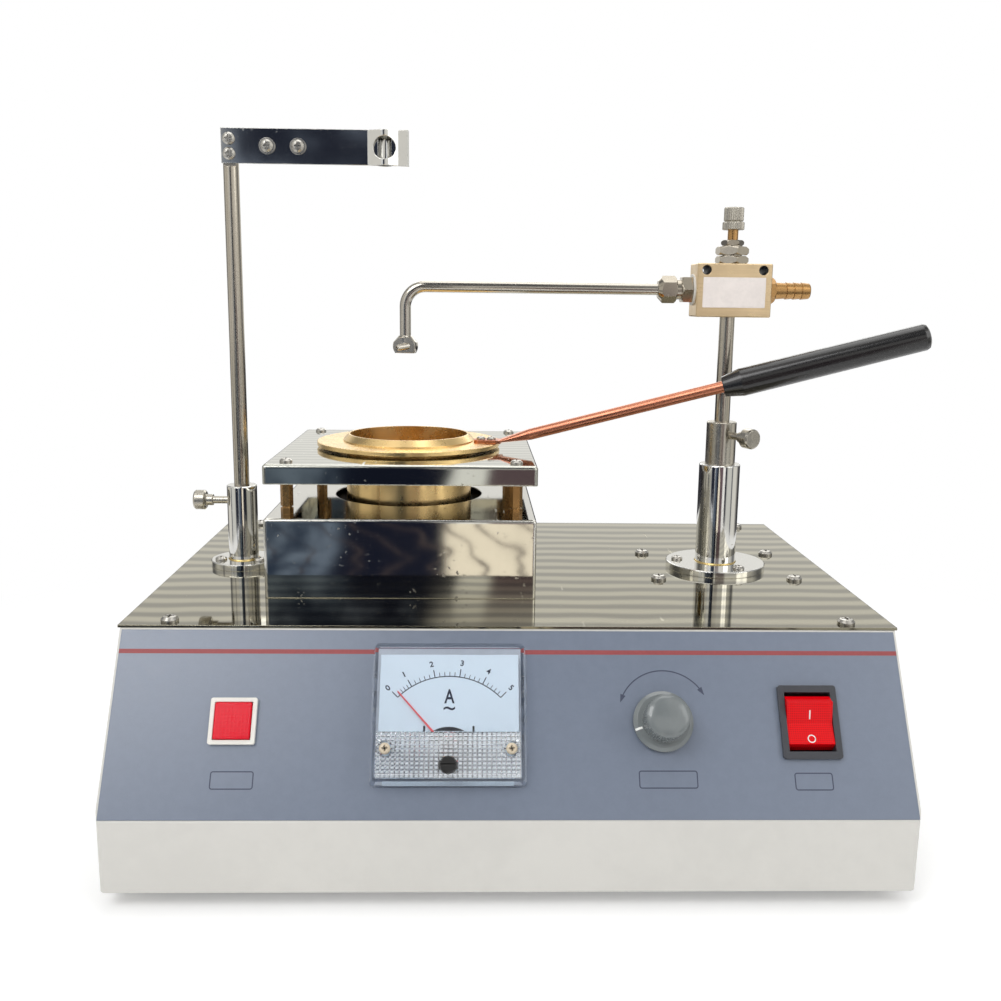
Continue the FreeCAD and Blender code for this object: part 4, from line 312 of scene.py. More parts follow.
def scuff_group() -> Tree:
    """Thin random scratches in two directions.

    Returns:
        The group, with a Mask that is 1 on a scratch.
    """
    g = Group(Effect.SCUFFS, Vector=NOWHERE, Scale=60.0, Amount=0.3)
    vector, scale = g.source["Vector"], g.source["Scale"]
    along = (1.0, 0.06, 1.0)
    masks = []
    for turn, place in (((0.2, 0.3, 0.6), NOWHERE), ((-0.4, 0.1, -0.5), (3.1, 1.7, 5.2))):
        value = g.noise(g.scaled(vector, along, turn, place), g.math("MULTIPLY", scale, 6.0), 2.0, 0.5)
        edge = g.math("SUBTRACT", 0.75, g.math("MULTIPLY", g.source["Amount"], 0.12))
        masks.append(g.math("MULTIPLY", g.math("SUBTRACT", value, edge), 30.0))
    both = g.math("ADD", g.math("MAXIMUM", *masks), 0.5, clamp=True)
    where = g.stretch(g.noise(vector, scale, 1.0), 0.45, 0.65)
    return g.give(Mask=g.math("MULTIPLY", both, where))


def handling_group() -> Tree:
    """Soft clouds left by wiping and handling.

    Returns:
        The group, with a Cloud value of 0 to 1.
    """
    g = Group(Effect.HANDLING, Vector=NOWHERE, Scale=30.0)
    base = g.noise(g.source["Vector"], g.source["Scale"], 4.0, 0.6)
    fine = g.noise(g.source["Vector"], g.math("MULTIPLY", g.source["Scale"], 5.0), 3.0, 0.6)
    return g.give(Cloud=g.stretch(g.blend(0.35, base, fine), 0.36, 0.64))


def grain_group() -> Tree:
    """The fine texture of powder coat, moulded plastic or film.

    Returns:
        The group, with a Height value.
    """
    g = Group(Effect.GRAIN, Vector=NOWHERE, Scale=900.0)
    broad = g.noise(g.source["Vector"], g.source["Scale"], 2.0, 0.5)
    fine = g.noise(g.source["Vector"], g.math("MULTIPLY", g.source["Scale"], 2.7), 2.0, 0.5)
    return g.give(Height=g.blend(0.3, broad, fine))


def corner_group() -> Tree:
    """Soft corners: a rounded normal, and where corners are painted brighter, partly as wear and partly as a
    painted highlight.

    Returns:
        The group, with the rounded Normal and an Edge mask.
    """
    g = Group(Effect.CORNERS, Radius=0.0005)
    rounded = g.node("Bevel", {"Radius": g.source["Radius"]}, samples=4).outputs[0]
    dot = g.vector("DOT_PRODUCT", "Value", rounded, g.node("NewGeometry").outputs["Normal"])
    return g.give(Normal=rounded, Edge=g.stretch(dot, 0.98, 0.8))


def turned_group() -> Tree:
    """The fine circles that a lathe leaves on a face, and their glints.

    Returns:
        The group, with a Rings value of 0 to 1.
    """
    g = Group(Effect.RINGS, Vector=NOWHERE, Fineness=2500.0)
    flat = g.vector("MULTIPLY", "Vector", g.source["Vector"], (1.0, 1.0, 0.0))
    height = g.node("SeparateXYZ", {0: g.source["Vector"]}).outputs[2]
    line = g.node("CombineXYZ", {0: g.vector("LENGTH", "Value", flat), 2: height}).outputs[0]
    return g.give(Rings=g.noise(line, g.source["Fineness"], 3.0, 0.6))


MAKERS = (brushing_group, scuff_group, handling_group, grain_group, corner_group, turned_group)
EFFECTS: dict[Effect, Tree] = {effect: make() for effect, make in zip(Effect, MAKERS)}


class Surface(Graph):
    """One material's tree, with its Principled shader and its object coordinates."""

    def __init__(self, name: str) -> None:
        """Makes the material with a shader joined to its output.

        Args:
            name: the material's name.
        """
        self.material = bpy.data.materials.new(name)
        self.material.use_nodes = True
        super().__init__(self.material.node_tree)
        self.shader = self.tree.nodes["Principled BSDF"]
        self.place = self.node("TexCoord").outputs["Object"]

    def effect(self, effect: Effect, output: str, **inputs: object) -> Socket:
        """Places one shared effect.

        Args:
            effect: which one.
            output: the output that is wanted.
            **inputs: its own values here.

        Returns:
            That output's socket.
        """
        node = self.tree.nodes.new("ShaderNodeGroup")
        node.node_tree = EFFECTS[effect]
        for key, value in inputs.items():
            self.feed(node.inputs[key], value)
        return node.outputs[output]

    def cloud(self, scale: float) -> Socket:
        """Where handling has clouded the surface."""
        return self.effect(Effect.HANDLING, "Cloud", Vector=self.place, Scale=scale)

    def corners(self, radius: float) -> tuple[Socket, Socket]:
        """The rounded normal and the mask of corners painted lighter, as wear and as a painted highlight."""
        normal = self.effect(Effect.CORNERS, "Normal", Radius=radius)
        return normal, normal.node.outputs["Edge"]

    def set(self, **values: object) -> None:
        """Sets or joins the shader's sockets; an underscore stands for a space."""
        for key, value in values.items():
            self.feed(self.shader.inputs[key.replace("_", " ")], value)

    def show(self, shader: Socket) -> None:
        """Puts another shader on the material's output."""
        self.feed(self.tree.nodes["Material Output"].inputs["Surface"], shader)


class Axis(Enum):
    """The direction in which a sheet was rolled or brushed, as its squeezed scale."""

    X = (0.02, 1.0, 1.0)
    Y = (1.0, 0.02, 1.0)
    Z = (1.0, 1.0, 0.02)


CLOUDED_COAT = 1.18      # how much rougher handling leaves a coat
CLOUDED_METAL = 1.5      # the same for metal
CLOUDED_INK = 1.2        # and for ink


@dataclass(frozen=True)
class Finish:
    """What every finish has: a name, a colour and how rough it is."""

    name: str
    color: Triple
    roughness: float = 0.4

    def shade(self, amount: float = 1.0) -> Quad:
        """The colour as the shader takes it, made darker or lighter by a factor."""
        red, green, blue, alpha = linear(*self.color)
        return red * amount, green * amount, blue * amount, alpha

    def rough(self, s: Surface, mask: Socket, factor: float) -> Socket:
        """The roughness, raised by a factor where the mask is 1."""
        return s.blend(mask, self.roughness, self.roughness * factor)

    def streaked(self, s: Surface, mask: Socket, darker: float, lighter: float) -> Socket:
        """The colour, from a share darker where the mask is 0 to a share lighter where it is 1."""
        return s.mix(mask, self.shade(1 - darker), self.shade(1 + lighter))

    def build(self) -> Material:
        """Makes the material."""
        raise NotImplementedError


@dataclass(frozen=True)
class Coat(Finish):
    """Powder coat, moulded plastic, rubber or film: a grained surface that is not metal."""

    grain: float = 900.0
    relief: float = 2e-5
    mottle: float = 0.06
    mottle_scale: float = 60.0
    corner: float = 0.0004
    edge_lift: float = 1.1
    coat: float = 0.0
    coat_roughness: float = 0.08
    ior: float = 1.5

    def build(self) -> Material:
        """Makes the material.

        Returns:
            The grained, slightly mottled material.
        """
        s = Surface(self.name)
        normal, edge = s.corners(self.corner)
        cloud = s.cloud(self.mottle_scale)
        height = s.effect(Effect.GRAIN, "Height", Vector=s.place, Scale=self.grain)
        # corners are lifted lighter by edge_lift: part wear, part painted highlight
        body = s.mix(edge, self.streaked(s, cloud, self.mottle, self.mottle / 2), self.shade(self.edge_lift))
        s.set(Base_Color=body, Roughness=self.rough(s, cloud, CLOUDED_COAT), IOR=self.ior,
              Normal=s.bump(height, self.relief, normal),
              Coat_Weight=self.coat, Coat_Roughness=self.coat_roughness)
        return s.material


@dataclass(frozen=True)
class Sheet(Finish):
    """Rolled, brushed or polished metal."""

    axis: Axis = Axis.X
    fineness: float = 1400.0
    streak: float = 0.10
    relief: float = 4e-6
    cloud: float = 0.12
    cloud_scale: float = 18.0
    cloud_shade: float = 0.7
    scuffs: float = 0.3
    scuff_roughness: float = 0.25
    line_roughness: float = 0.3
    corner: float = 0.0005
    edge_lift: float = 1.15
    # band and band_pitch set painted reflection stripes in the sheet's colour
    band: float = 0.0
    band_pitch: float = 15.0

    def banded(self, s: Surface, body: Socket) -> Socket:
        """Adds long soft light and dark waves across a thin polished sheet: a painted reflection.

        Args:
            s: the surface.
            body: its colour so far.

        Returns:
            The colour with its painted reflection bands.
        """
        turns = 1.0 / (self.band_pitch * MM * 20) * 2 * math.pi
        wave = s.node("TexWave", {"Vector": s.place, "Scale": turns, "Distortion": 1.3, "Detail": 1.5,
                                  "Detail Scale": 1.2}, bands_direction="Y").outputs["Fac"]
        level = s.stretch(wave, 0.0, 1.0, 1 - self.band, 1 + self.band * 0.6)
        grey = s.node("CombineColor", dict.fromkeys(range(3), level)).outputs[0]
        return s.mix(1.0, body, grey, "MULTIPLY")

    def build(self) -> Material:
        """Makes the material.

        Returns:
            The metal with its lines, clouds and scratches.
        """
        s = Surface(self.name)
        normal, edge = s.corners(self.corner)
        squeezed = s.scaled(s.place, self.axis.value)
        lines = s.effect(Effect.BRUSHING, "Lines", Vector=squeezed, Fineness=self.fineness)
        cloud = s.cloud(self.cloud_scale)
        scratch = s.effect(Effect.SCUFFS, "Mask", Vector=s.place, Amount=self.scuffs)
        body = self.streaked(s, lines, self.streak, self.streak)
        body = s.mix(s.math("MULTIPLY", cloud, self.cloud), body, self.shade(self.cloud_shade))
        # painted reflection: soft light and dark bands multiplied into the colour
        if self.band:
            body = self.banded(s, body)
        # corners are lifted lighter by edge_lift: part wear, part painted highlight
        body = s.mix(edge, body, self.shade(self.edge_lift))
        rough = self.rough(s, cloud, CLOUDED_METAL)
        for mask, amount in ((scratch, self.scuff_roughness), (lines, self.roughness * self.line_roughness)):
            rough = s.math("ADD", rough, s.math("MULTIPLY", mask, amount))
        s.set(Base_Color=body, Roughness=rough, Normal=s.bump(lines, self.relief, normal), Metallic=1.0)
        return s.material


@dataclass(frozen=True)
class Turned(Finish):
    """Metal turned on a lathe round an upright axis through a drawn place."""

    centre: Pair = (0.0, 0.0)
    fineness: float = 1800.0
    relief: float = 1e-5
    streak: float = 0.12
    tarnish: float = 0.25
    tarnish_scale: float = 55.0
    tarnish_shade: float = 0.55
    corner: float = 0.0003
    edge_lift: float = 1.2

    def build(self) -> Material:
        """Makes the material.

        Returns:
            The metal with its rings and its tarnish.
        """
        s = Surface(self.name)
        axis = drawn(*self.centre, 0)
        centred = s.scaled(s.place, UNCHANGED, place=(-axis.x, -axis.y, 0))
        rings = s.effect(Effect.RINGS, "Rings", Vector=centred, Fineness=self.fineness)
        cloud = s.cloud(self.tarnish_scale)
        normal, edge = s.corners(self.corner)
        body = self.streaked(s, rings, self.streak, self.streak)
        body = s.mix(s.math("MULTIPLY", cloud, self.tarnish), body, self.shade(self.tarnish_shade))
        # corners are lifted lighter by edge_lift: part wear, part painted highlight
        s.set(Base_Color=s.mix(edge, body, self.shade(self.edge_lift)), Metallic=1.0,
              Roughness=self.rough(s, cloud, CLOUDED_METAL), Normal=s.bump(rings, self.relief, normal))
        return s.material


@dataclass(frozen=True)
class Ink(Finish):
    """Printing ink: slightly broken colour on a smooth film."""

    broken: float = 0.12
    broken_scale: float = 700.0

    def build(self) -> Material:
        """Makes the material.

        Returns:
            The ink.
        """
        s = Surface(self.name)
        cloud = s.cloud(self.broken_scale)
        body = self.streaked(s, cloud, 0.0, self.broken)
        s.set(Base_Color=body, Roughness=self.rough(s, cloud, CLOUDED_INK))
        return s.material


@dataclass(frozen=True)
class Clear(Finish):
    """Clear or tinted plastic, with hairline scratches."""

    ior: float = 1.49
    transmission: float = 1.0
    shadow: float = 0.9
    scratched: float = 0.2

    def build(self) -> Material:
        """Makes the material; light passes it on its way to what it covers.

        Returns:
            The see-through plastic.
        """
        s = Surface(self.name)
        scratch = s.effect(Effect.SCUFFS, "Mask", Vector=s.place, Scale=180.0, Amount=0.5)
        s.set(Base_Color=self.shade(), Transmission_Weight=self.transmission, IOR=self.ior,
              Roughness=s.blend(scratch, self.roughness, self.roughness + self.scratched))
        clear = s.node("BsdfTransparent", {"Color": self.shade(self.shadow)}).outputs[0]
        s.show(s.either(s.node("LightPath").outputs["Is Shadow Ray"], s.shader.outputs[0], clear))
        return s.material


@dataclass(frozen=True)
class LitPlastic(Finish):
    """Translucent coloured plastic with a fine moulded grid behind its face and a faint painted glow."""

    pitch: float = 0.9
    glow: float = 0.05
    contrast: float = 0.2
    relief: float = 4e-5
    relief_strength: float = 0.4
    coat: float = 0.06
    coat_roughness: float = 0.05
    specular: float = 0.2

    def build(self) -> Material:
        """Makes the material.

        Returns:
            The glossy, gridded plastic with a faint painted glow.
        """
        s = Surface(self.name)
        flat = s.node("SeparateXYZ", {0: s.scaled(s.place, UNCHANGED, turn=(-PANEL_ANGLE, 0, 0))})
        waves = [s.math("SINE", s.math("MULTIPLY", flat.outputs[index], 2 * math.pi / (self.pitch * MM)))
                 for index in (0, 1)]
        grid = s.stretch(s.math("MAXIMUM", *waves), 0.2, 1.0)
        body = self.streaked(s, grid, self.contrast, self.contrast / 2)
        # the emission in the plastic's own colour is a faint painted glow
        s.set(Base_Color=body, Roughness=self.roughness, Coat_Weight=self.coat,
              Coat_Roughness=self.coat_roughness, Specular_IOR_Level=self.specular, Emission_Color=body,
              Emission_Strength=self.glow, Normal=s.bump(grid, self.relief, strength=self.relief_strength))
        return s.material


# ---- piece making
def link(name: str, data: bpy.types.ID) -> bpy.types.Object:
    """Puts a new object in the scene.

    Args:
        name: its name.
        data: its mesh, lamp, camera or text.

    Returns:
        The object, at the origin.
    """
    made = bpy.data.objects.new(name, data)
    bpy.context.scene.collection.objects.link(made)
    return made


def baked(name: str, bm: Drawing) -> bpy.types.Mesh:
    """Turns a drawing into a mesh of this name.

    Args:
        name: the mesh's name.
        bm: the drawing; it is freed here.

    Returns:
        The mesh.
    """
    mesh = bpy.data.meshes.new(name)
    bm.to_mesh(mesh)
    bm.free()
    return mesh


def finish_piece(name: str, bm: Drawing, place: Matrix, material: Material,
                 body: str = "base", smooth: float = SMOOTH_ANGLE) -> bpy.types.Object:
    """Turns a drawing into a finished piece that rides on its body.

    Args:
        name: the piece's name.
        bm: the drawing, in its own axes, in metres; it is freed here.
        place: from the drawing's axes to the frame.
        material: its finish.
        body: the CAD body that carries it.
        smooth: faces that meet at less than this angle are shaded as one.

    Returns:
        The object, at the origin.
    """
    bmesh.ops.remove_doubles(bm, verts=bm.verts, dist=MERGE)
    bmesh.ops.recalc_face_normals(bm, faces=bm.faces)
    bmesh.ops.transform(bm, matrix=place, verts=bm.verts)
    mesh = baked(name, bm)
    mesh.shade_smooth()
    mesh.set_sharp_from_angle(angle=smooth)
    mesh.materials.append(material)
    piece = link(name, mesh)
    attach(piece, body)
    LOG.info("%s rides on %s, %d faces", name, body, len(mesh.polygons))
    return piece


def corners_of(geom: list) -> list[bmesh.types.BMVert]:
    """Only the corner points among what an operator made."""
    return [item for item in geom if isinstance(item, bmesh.types.BMVert)]


def shift(bm: Drawing, x: float, y: float, z: float) -> None:
    """Moves a whole drawing, in mm."""
    bmesh.ops.translate(bm, vec=(x * MM, y * MM, z * MM), verts=bm.verts)


def cut(bm: Drawing, height: float, normal: tuple, clear: bool = False) -> None:
    """Cuts a drawing by a plane.

    Args:
        bm: the drawing.
        height: the plane's place along Z, mm.
        normal: the plane's direction.
        clear: whether what lies beyond it goes.
    """
    bmesh.ops.bisect_plane(bm, geom=bm.verts[:] + bm.edges[:] + bm.faces[:], plane_co=(0, 0, height * MM),
                           plane_no=normal, clear_outer=clear)


def lathe(outline: Sequence[Pair], steps: int = 64) -> Drawing:
    """A closed turned solid about Z.

    Args:
        outline: (radius, height) points in mm round the cut face, closed back to the first.
        steps: how many steps go round.

    Returns:
        The drawing, in metres.
    """
    bm = bmesh.new()
    points = [bm.verts.new((r * MM, 0, z * MM)) for r, z in outline]
    edges = [bm.edges.new(pair) for pair in zip(points, points[1:] + points[:1])]
    bmesh.ops.spin(bm, geom=points + edges, axis=(0, 0, 1), cent=NOWHERE, angle=2 * math.pi,
                   steps=steps, use_merge=True)
    bmesh.ops.remove_doubles(bm, verts=bm.verts, dist=MERGE)
    return bm


def tube(inner: float, outer: float, low: float, high: float, steps: int = 48) -> Drawing:
    """A straight ring about Z, all in mm."""
    return lathe([(inner, low), (outer, low), (outer, high), (inner, high)], steps)


def raise_faces(bm: Drawing, thick: float) -> None:
    """Gives a flat drawing a thickness upwards and keeps its lower side.

    Args:
        bm: the drawing.
        thick: in mm.
    """
    faces = bm.faces[:]
    kept = bmesh.ops.duplicate(bm, geom=faces)["geom"]
    made = bmesh.ops.extrude_face_region(bm, geom=faces)["geom"]
    bmesh.ops.translate(bm, vec=(0, 0, thick * MM), verts=corners_of(made))
    bmesh.ops.reverse_faces(bm, faces=[f for f in kept if isinstance(f, bmesh.types.BMFace)])
    bmesh.ops.delete(bm, geom=[f for f in faces if f.is_valid], context="FACES_ONLY")
    bmesh.ops.remove_doubles(bm, verts=bm.verts, dist=MERGE)


def grid(width: float, height: float, columns: int = 1, rows: int = 1) -> Drawing:
    """A flat grid on XY.

    Args:
        width, height: in mm.
        columns, rows: how many faces it has each way.

    Returns:
        The drawing, in metres.
    """
    bm = bmesh.new()
    bmesh.ops.create_grid(bm, x_segments=columns, y_segments=rows, size=0.5)
    bmesh.ops.scale(bm, vec=(width * MM, height * MM, 1), verts=bm.verts)
    return bm


def rounded(width: float, height: float, corner: float, segments: int) -> Drawing:
    """A flat rectangle with round corners.

    Args:
        width, height: in mm.
        corner: the corners' radius, mm.
        segments: steps in a corner.

    Returns:
        The drawing, in metres.
    """
    bm = grid(width, height)
    bmesh.ops.bevel(bm, geom=bm.verts[:], affect="VERTICES", offset=corner * MM, segments=segments,
                    profile=0.5, material=-1)
    return bm


def slab(width: float, height: float, thick: float, corner: float = 0.0, segments: int = 4) -> Drawing:
    """A flat plate that stands on XY.

    Args:
        width, height, thick: in mm.
        corner: the corners' radius, mm; none leaves them sharp.
        segments: steps in a corner.

    Returns:
        The drawing, in metres.
    """
    bm = rounded(width, height, corner, segments) if corner else grid(width, height)
    raise_faces(bm, thick)
    return bm


def outline_frame(width: float, height: float, line: float, corner: float, thick: float) -> Drawing:
    """A printed rounded rectangle: only its line.

    Args:
        width, height: outside, mm.
        line: the line's width, mm.
        corner: the outer corner's radius, mm.
        thick: the print's thickness, mm.

    Returns:
        The drawing, in metres.
    """
    bm = rounded(width, height, corner, 5)
    centre = bm.faces[:]
    bmesh.ops.inset_region(bm, faces=centre, thickness=line * MM, use_even_offset=True, use_boundary=True)
    bmesh.ops.delete(bm, geom=centre, context="FACES")
    raise_faces(bm, thick)
    return bm


def arc_band(inner: float, outer: float, start: float, end: float, thick: float, steps: int = 48) -> Drawing:
    """A flat band bent round the origin.

    Args:
        inner, outer: its radii, mm.
        start, end: its angles from +X, degrees.
        thick: its thickness, mm.
        steps: how many steps along it.

    Returns:
        The drawing, in metres.
    """
    bm = bmesh.new()
    turn = math.radians(start)
    ends = [bm.verts.new((r * MM * math.cos(turn), r * MM * math.sin(turn), 0)) for r in (inner, outer)]
    bmesh.ops.spin(bm, geom=ends + [bm.edges.new(ends)], axis=(0, 0, 1), cent=NOWHERE,
                   angle=math.radians(end - start), steps=steps)
    raise_faces(bm, thick)
    return bm


def wedge(points: Sequence[Pair], thick: float) -> Drawing:
    """A flat printed shape.

    Args:
        points: its corners, mm.
        thick: the print's thickness, mm.

    Returns:
        The drawing, in metres.
    """
    bm = bmesh.new()
    bm.faces.new([bm.verts.new((x * MM, y * MM, 0)) for x, y in points])
    raise_faces(bm, thick)
    return bm


def lettering(text: str, size: float, thick: float, bold: float = 0.0) -> Drawing:
    """A character as a thin solid, centred on the origin.

    Args:
        text: what it says.
        size: the height of its line, mm.
        thick: the print's thickness, mm.
        bold: how much its strokes grow, mm.

    Returns:
        The drawing, in metres.
    """
    curve = bpy.data.curves.new("lettering", "FONT")
    curve.body = text
    curve.size = size * MM
    curve.align_x = "CENTER"
    curve.align_y = "CENTER"
    curve.extrude = thick * MM / 2
    curve.offset = bold * MM
    curve.resolution_u = 6
    holder = link("lettering", curve)
    bpy.context.view_layer.update()
    mesh = bpy.data.meshes.new_from_object(holder.evaluated_get(bpy.context.evaluated_depsgraph_get()))
    bpy.data.objects.remove(holder)
    bpy.data.curves.remove(curve)
    bm = bmesh.new()
    bm.from_mesh(mesh)
    bpy.data.meshes.remove(mesh)
    shift(bm, 0, 0, thick / 2)
    return bm


def join(target: Drawing, part: Drawing, place: Matrix = Matrix()) -> None:
    """Adds one drawing to another.

    Args:
        target: the drawing that grows.
        part: the drawing that is added; it is freed here.
        place: where it goes in the target's axes.
    """
    bmesh.ops.transform(part, matrix=place, verts=part.verts)
    mesh = baked("part", part)
    target.from_mesh(mesh)
    bpy.data.meshes.remove(mesh)


def bendable(bm: Drawing, cuts: int) -> Drawing:
    """The same drawing with so many cuts in each edge, so that it can bend."""
    bmesh.ops.subdivide_edges(bm, edges=bm.edges[:], cuts=cuts, use_grid_fill=True)
    return bm


def drape(bm: Drawing, place: Matrix, node: str, lift: float) -> Drawing:
    """Lays a flat print on a CAD surface along the drawing's own Z.

    Args:
        bm: the print, in metres.
        place: from its axes to the frame.
        node: the CAD node below it.
        lift: how far its lower side stays above the surface, mm.

    Returns:
        The same drawing, draped, still in its own axes.
    """
    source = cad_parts[node].data
    tree = BVHTree.FromPolygons([v.co for v in source.vertices], [p.vertices for p in source.polygons])
    inverse = place.inverted()
    out = (place.to_3x3() @ Vector((0, 0, 1))).normalized()
    reach = 30 * MM
    for vert in bm.verts:
        hit = tree.ray_cast(place @ vert.co + out * reach, -out)[0]
        if hit is not None:
            vert.co.z += (inverse @ hit).z + lift * MM
    return bm


def knurled(radius: float, low: float, high: float, ridges: int, depth: float, bevel: float) -> Drawing:
    """A round grip with straight ridges and narrowed ends.

    Args:
        radius: over the ridges, mm.
        low, high: its ends, mm.
        ridges: how many go round.
        depth: how deep the grooves are, mm.
        bevel: the ends' chamfer, mm.

    Returns:
        The drawing, in metres.
    """
    bm = bmesh.new()
    bmesh.ops.create_circle(bm, cap_ends=True, segments=2 * ridges, radius=radius * MM)
    bmesh.ops.scale(bm, vec=[(radius - depth) / radius] * 2 + [1], verts=bm.verts[:][1::2])
    raise_faces(bm, high - low)
    shift(bm, 0, 0, low)
    for up in (low + bevel, high - bevel):
        cut(bm, up, (0, 0, 1))
    ends = [v for v in bm.verts if not (low + bevel / 2) * MM < v.co.z < (high - bevel / 2) * MM]
    bmesh.ops.scale(bm, vec=[(radius - bevel) / radius] * 2 + [1], verts=ends)
    return bm


@dataclass
class CarriedFrame:
    """The CAD nodes that keep their shape and get their finish here."""

    finishes: dict[str, Finish] = field(default_factory=dict)

    def dress(self) -> None:
        """Gives each node its own finish; one finish is made once for all its nodes."""
        made: dict[Finish, Material] = {}
        for node, finish in self.finishes.items():
            if finish not in made:
                made[finish] = finish.build()
            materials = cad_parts[node].data.materials
            materials.clear()
            materials.append(made[finish])
            LOG.info("%s keeps its shape and takes %s", node, finish.name)
        bare = sorted(set(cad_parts) - set(self.finishes))
        LOG.info("nodes that pieces replace or that stay plain: %s", ", ".join(bare) or "none")


# ---- finishes
CASE_PAINT = Coat("case_paint", (224, 222, 216), 0.42, grain=700, relief=2.5e-5, mottle=0.03, mottle_scale=25,
                  edge_lift=1.06)
FILM = Coat("panel_film", (112, 123, 142), 0.33, grain=500, mottle=0.04, mottle_scale=240,
            edge_lift=1.2, ior=1.8)
RUBBER = Coat("foot_rubber", (32, 32, 33), 0.75, grain=1200, mottle=0.15)
BLACK_GLOSS = Coat("black_moulding", (20, 20, 22), 0.14, grain=300, relief=6e-6, mottle=0.2, coat=0.3,
                   edge_lift=2.0)
BLACK_SATIN = Coat("switch_moulding", (62, 64, 70), 0.3, grain=1500, relief=1e-5, mottle=0.08, edge_lift=1.6)
INLET_BLACK = Coat("inlet_moulding", (30, 30, 32), 0.4, grain=1500, relief=1e-5, mottle=0.15, edge_lift=1.6)
METER_BASE = Coat("meter_base_moulding", (188, 193, 203), 0.4, grain=1500, relief=1e-5, mottle=0.05)
IVORY = Coat("ivory_moulding", (238, 236, 228), 0.3, grain=400, relief=1e-5, mottle=0.03)
KNOB_GREY = Coat("knob_moulding", (122, 128, 129), 0.16, grain=250, relief=5e-6, mottle=0.04, coat=0.4,
                 corner=0.0006)
DIAL_CARD = Coat("dial_card", (220, 233, 244), 0.5, grain=1500, relief=4e-6, mottle=0.02, mottle_scale=40)
NEEDLE_RED = Coat("needle_paint", (240, 96, 100), 0.35, grain=1500, relief=4e-6, corner=0.0001)
BAKELITE = Coat("grip_moulding", (17, 16, 17), 0.22, grain=160, relief=1.2e-5, mottle=0.25, coat=0.35,
                corner=0.0008, edge_lift=1.8)
CERAMIC = Coat("former_ceramic", (208, 200, 184), 0.8, grain=600, relief=8e-5, mottle=0.15)
BOARD_GREEN = Coat("board_mask", (22, 78, 42), 0.35, relief=1e-5, mottle=0.2)
MOTOR_GREY = Coat("motor_case", (92, 95, 98), 0.5, grain=600)
HOT_IRON = Coat("heater_iron", (40, 38, 37), 0.6, grain=500, relief=4e-5, mottle=0.3, mottle_scale=35)
SCREW_CREAM = Coat("screw_cream", (225, 210, 185), 0.35, grain=1500, relief=6e-6, corner=0.0002)
# painted shade inside the valve's two screw holes
SHADE_SLEEVE_DARK = Coat("liner_dark", (34, 32, 30), 0.5, relief=1e-5, mottle=0.1)
# painted shade of the case screws' cross recesses
CROSS_PAINTED_SHADE = Coat("cross_dark", (60, 56, 50), 0.5, relief=1e-5, mottle=0.1)
LABEL_PAPER = Coat("label_paper", (250, 241, 235), 0.5, grain=1200, relief=6e-6, mottle=0.05,
                   mottle_scale=120)
SEAL_TAPE = Coat("seal_tape", (236, 234, 228), 0.55, grain=2500, relief=3e-5, mottle=0.08)
DARK_IRON = Coat("magnet_iron", (38, 38, 44), 0.4, relief=1e-5)
# band on the plate and the cover paints reflection stripes into their colour
PLATE_STEEL = Sheet("plate_steel", (158, 153, 134), 0.03, Axis.X, fineness=420, streak=0.05, relief=1e-6,
                    cloud=0.15, cloud_scale=9, scuffs=0.25, band=0.42)
BOX_STEEL = Sheet("box_steel", (206, 204, 197), 0.04, Axis.Z, fineness=500, streak=0.04, relief=1e-6,
                  cloud_scale=22, scuffs=0.5, corner=0.0009, edge_lift=1.5)
COVER_STEEL = Sheet("cover_steel", (196, 196, 187), 0.035, Axis.Y, fineness=500, streak=0.05, relief=1e-6,
                    cloud_scale=14, scuffs=0.4, band=0.16, band_pitch=9, corner=0.0009, edge_lift=1.4)
ARM_STEEL = Sheet("arm_steel", (204, 203, 198), 0.06, Axis.X, fineness=1600, streak=0.06, relief=1e-6,
                  cloud=0.15, edge_lift=1.3)
POST_CHROME = Sheet("post_chrome", (222, 221, 217), 0.05, Axis.Z, fineness=2200, streak=0.05, relief=5e-7,
                    cloud=0.1, cloud_scale=50)
HUB_SATIN = Sheet("hub_satin", (184, 179, 168), 0.2, Axis.Z, fineness=3500, streak=0.12, relief=3e-6,
                  cloud=0.2, cloud_scale=50)
ROD_STEEL = Sheet("rod_steel", (180, 173, 160), 0.15, Axis.Z, fineness=4000, streak=0.08, relief=1e-6,
                  cloud_scale=60)
TUBE_STEEL = Sheet("tube_steel", (184, 179, 169), 0.12, Axis.X, fineness=4000, streak=0.06, relief=1e-6,
                   cloud_scale=50)
SCREW_STEEL = Sheet("screw_steel", (190, 187, 180), 0.22, Axis.Y, fineness=5000, cloud=0.3, cloud_scale=200,
                    corner=0.0002)
NICKEL = Sheet("fitting_nickel", (172, 164, 150), 0.10, Axis.Z, fineness=3000, cloud=0.18, cloud_scale=90,
               corner=0.0003)
ZINC = Sheet("zinc_sheet", (150, 152, 154), 0.35, Axis.X, fineness=1800, cloud=0.4, cloud_scale=40)
ANODISED = Sheet("valve_anodised", (218, 194, 156), 0.24, Axis.X, fineness=2600, streak=0.24, relief=8e-6,
                 cloud=0.1, cloud_scale=60, edge_lift=1.3)
MOTOR_BRIGHT = Sheet("shaft_steel", (170, 168, 162), 0.25, Axis.Z, fineness=3000)
CORE_METAL = Sheet("core_metal", (120, 120, 122), 0.4, Axis.X, fineness=1500)
FITTING_BRASS = Sheet("fitting_brass", (180, 140, 90), 0.2, Axis.X, fineness=2500, streak=0.12, relief=3e-6,
                      cloud=0.3, cloud_scale=110, corner=0.0002)
SCREW_BRASS = Sheet("screw_brass", (214, 190, 130), 0.25, Axis.X, fineness=3000, cloud=0.3, cloud_scale=200,
                    corner=0.0002)
HANDLE_COPPER = Sheet("handle_copper", (190, 124, 98), 0.22, Axis.X, fineness=1600, streak=0.08, relief=2e-6,
                      cloud=0.2, cloud_scale=45)
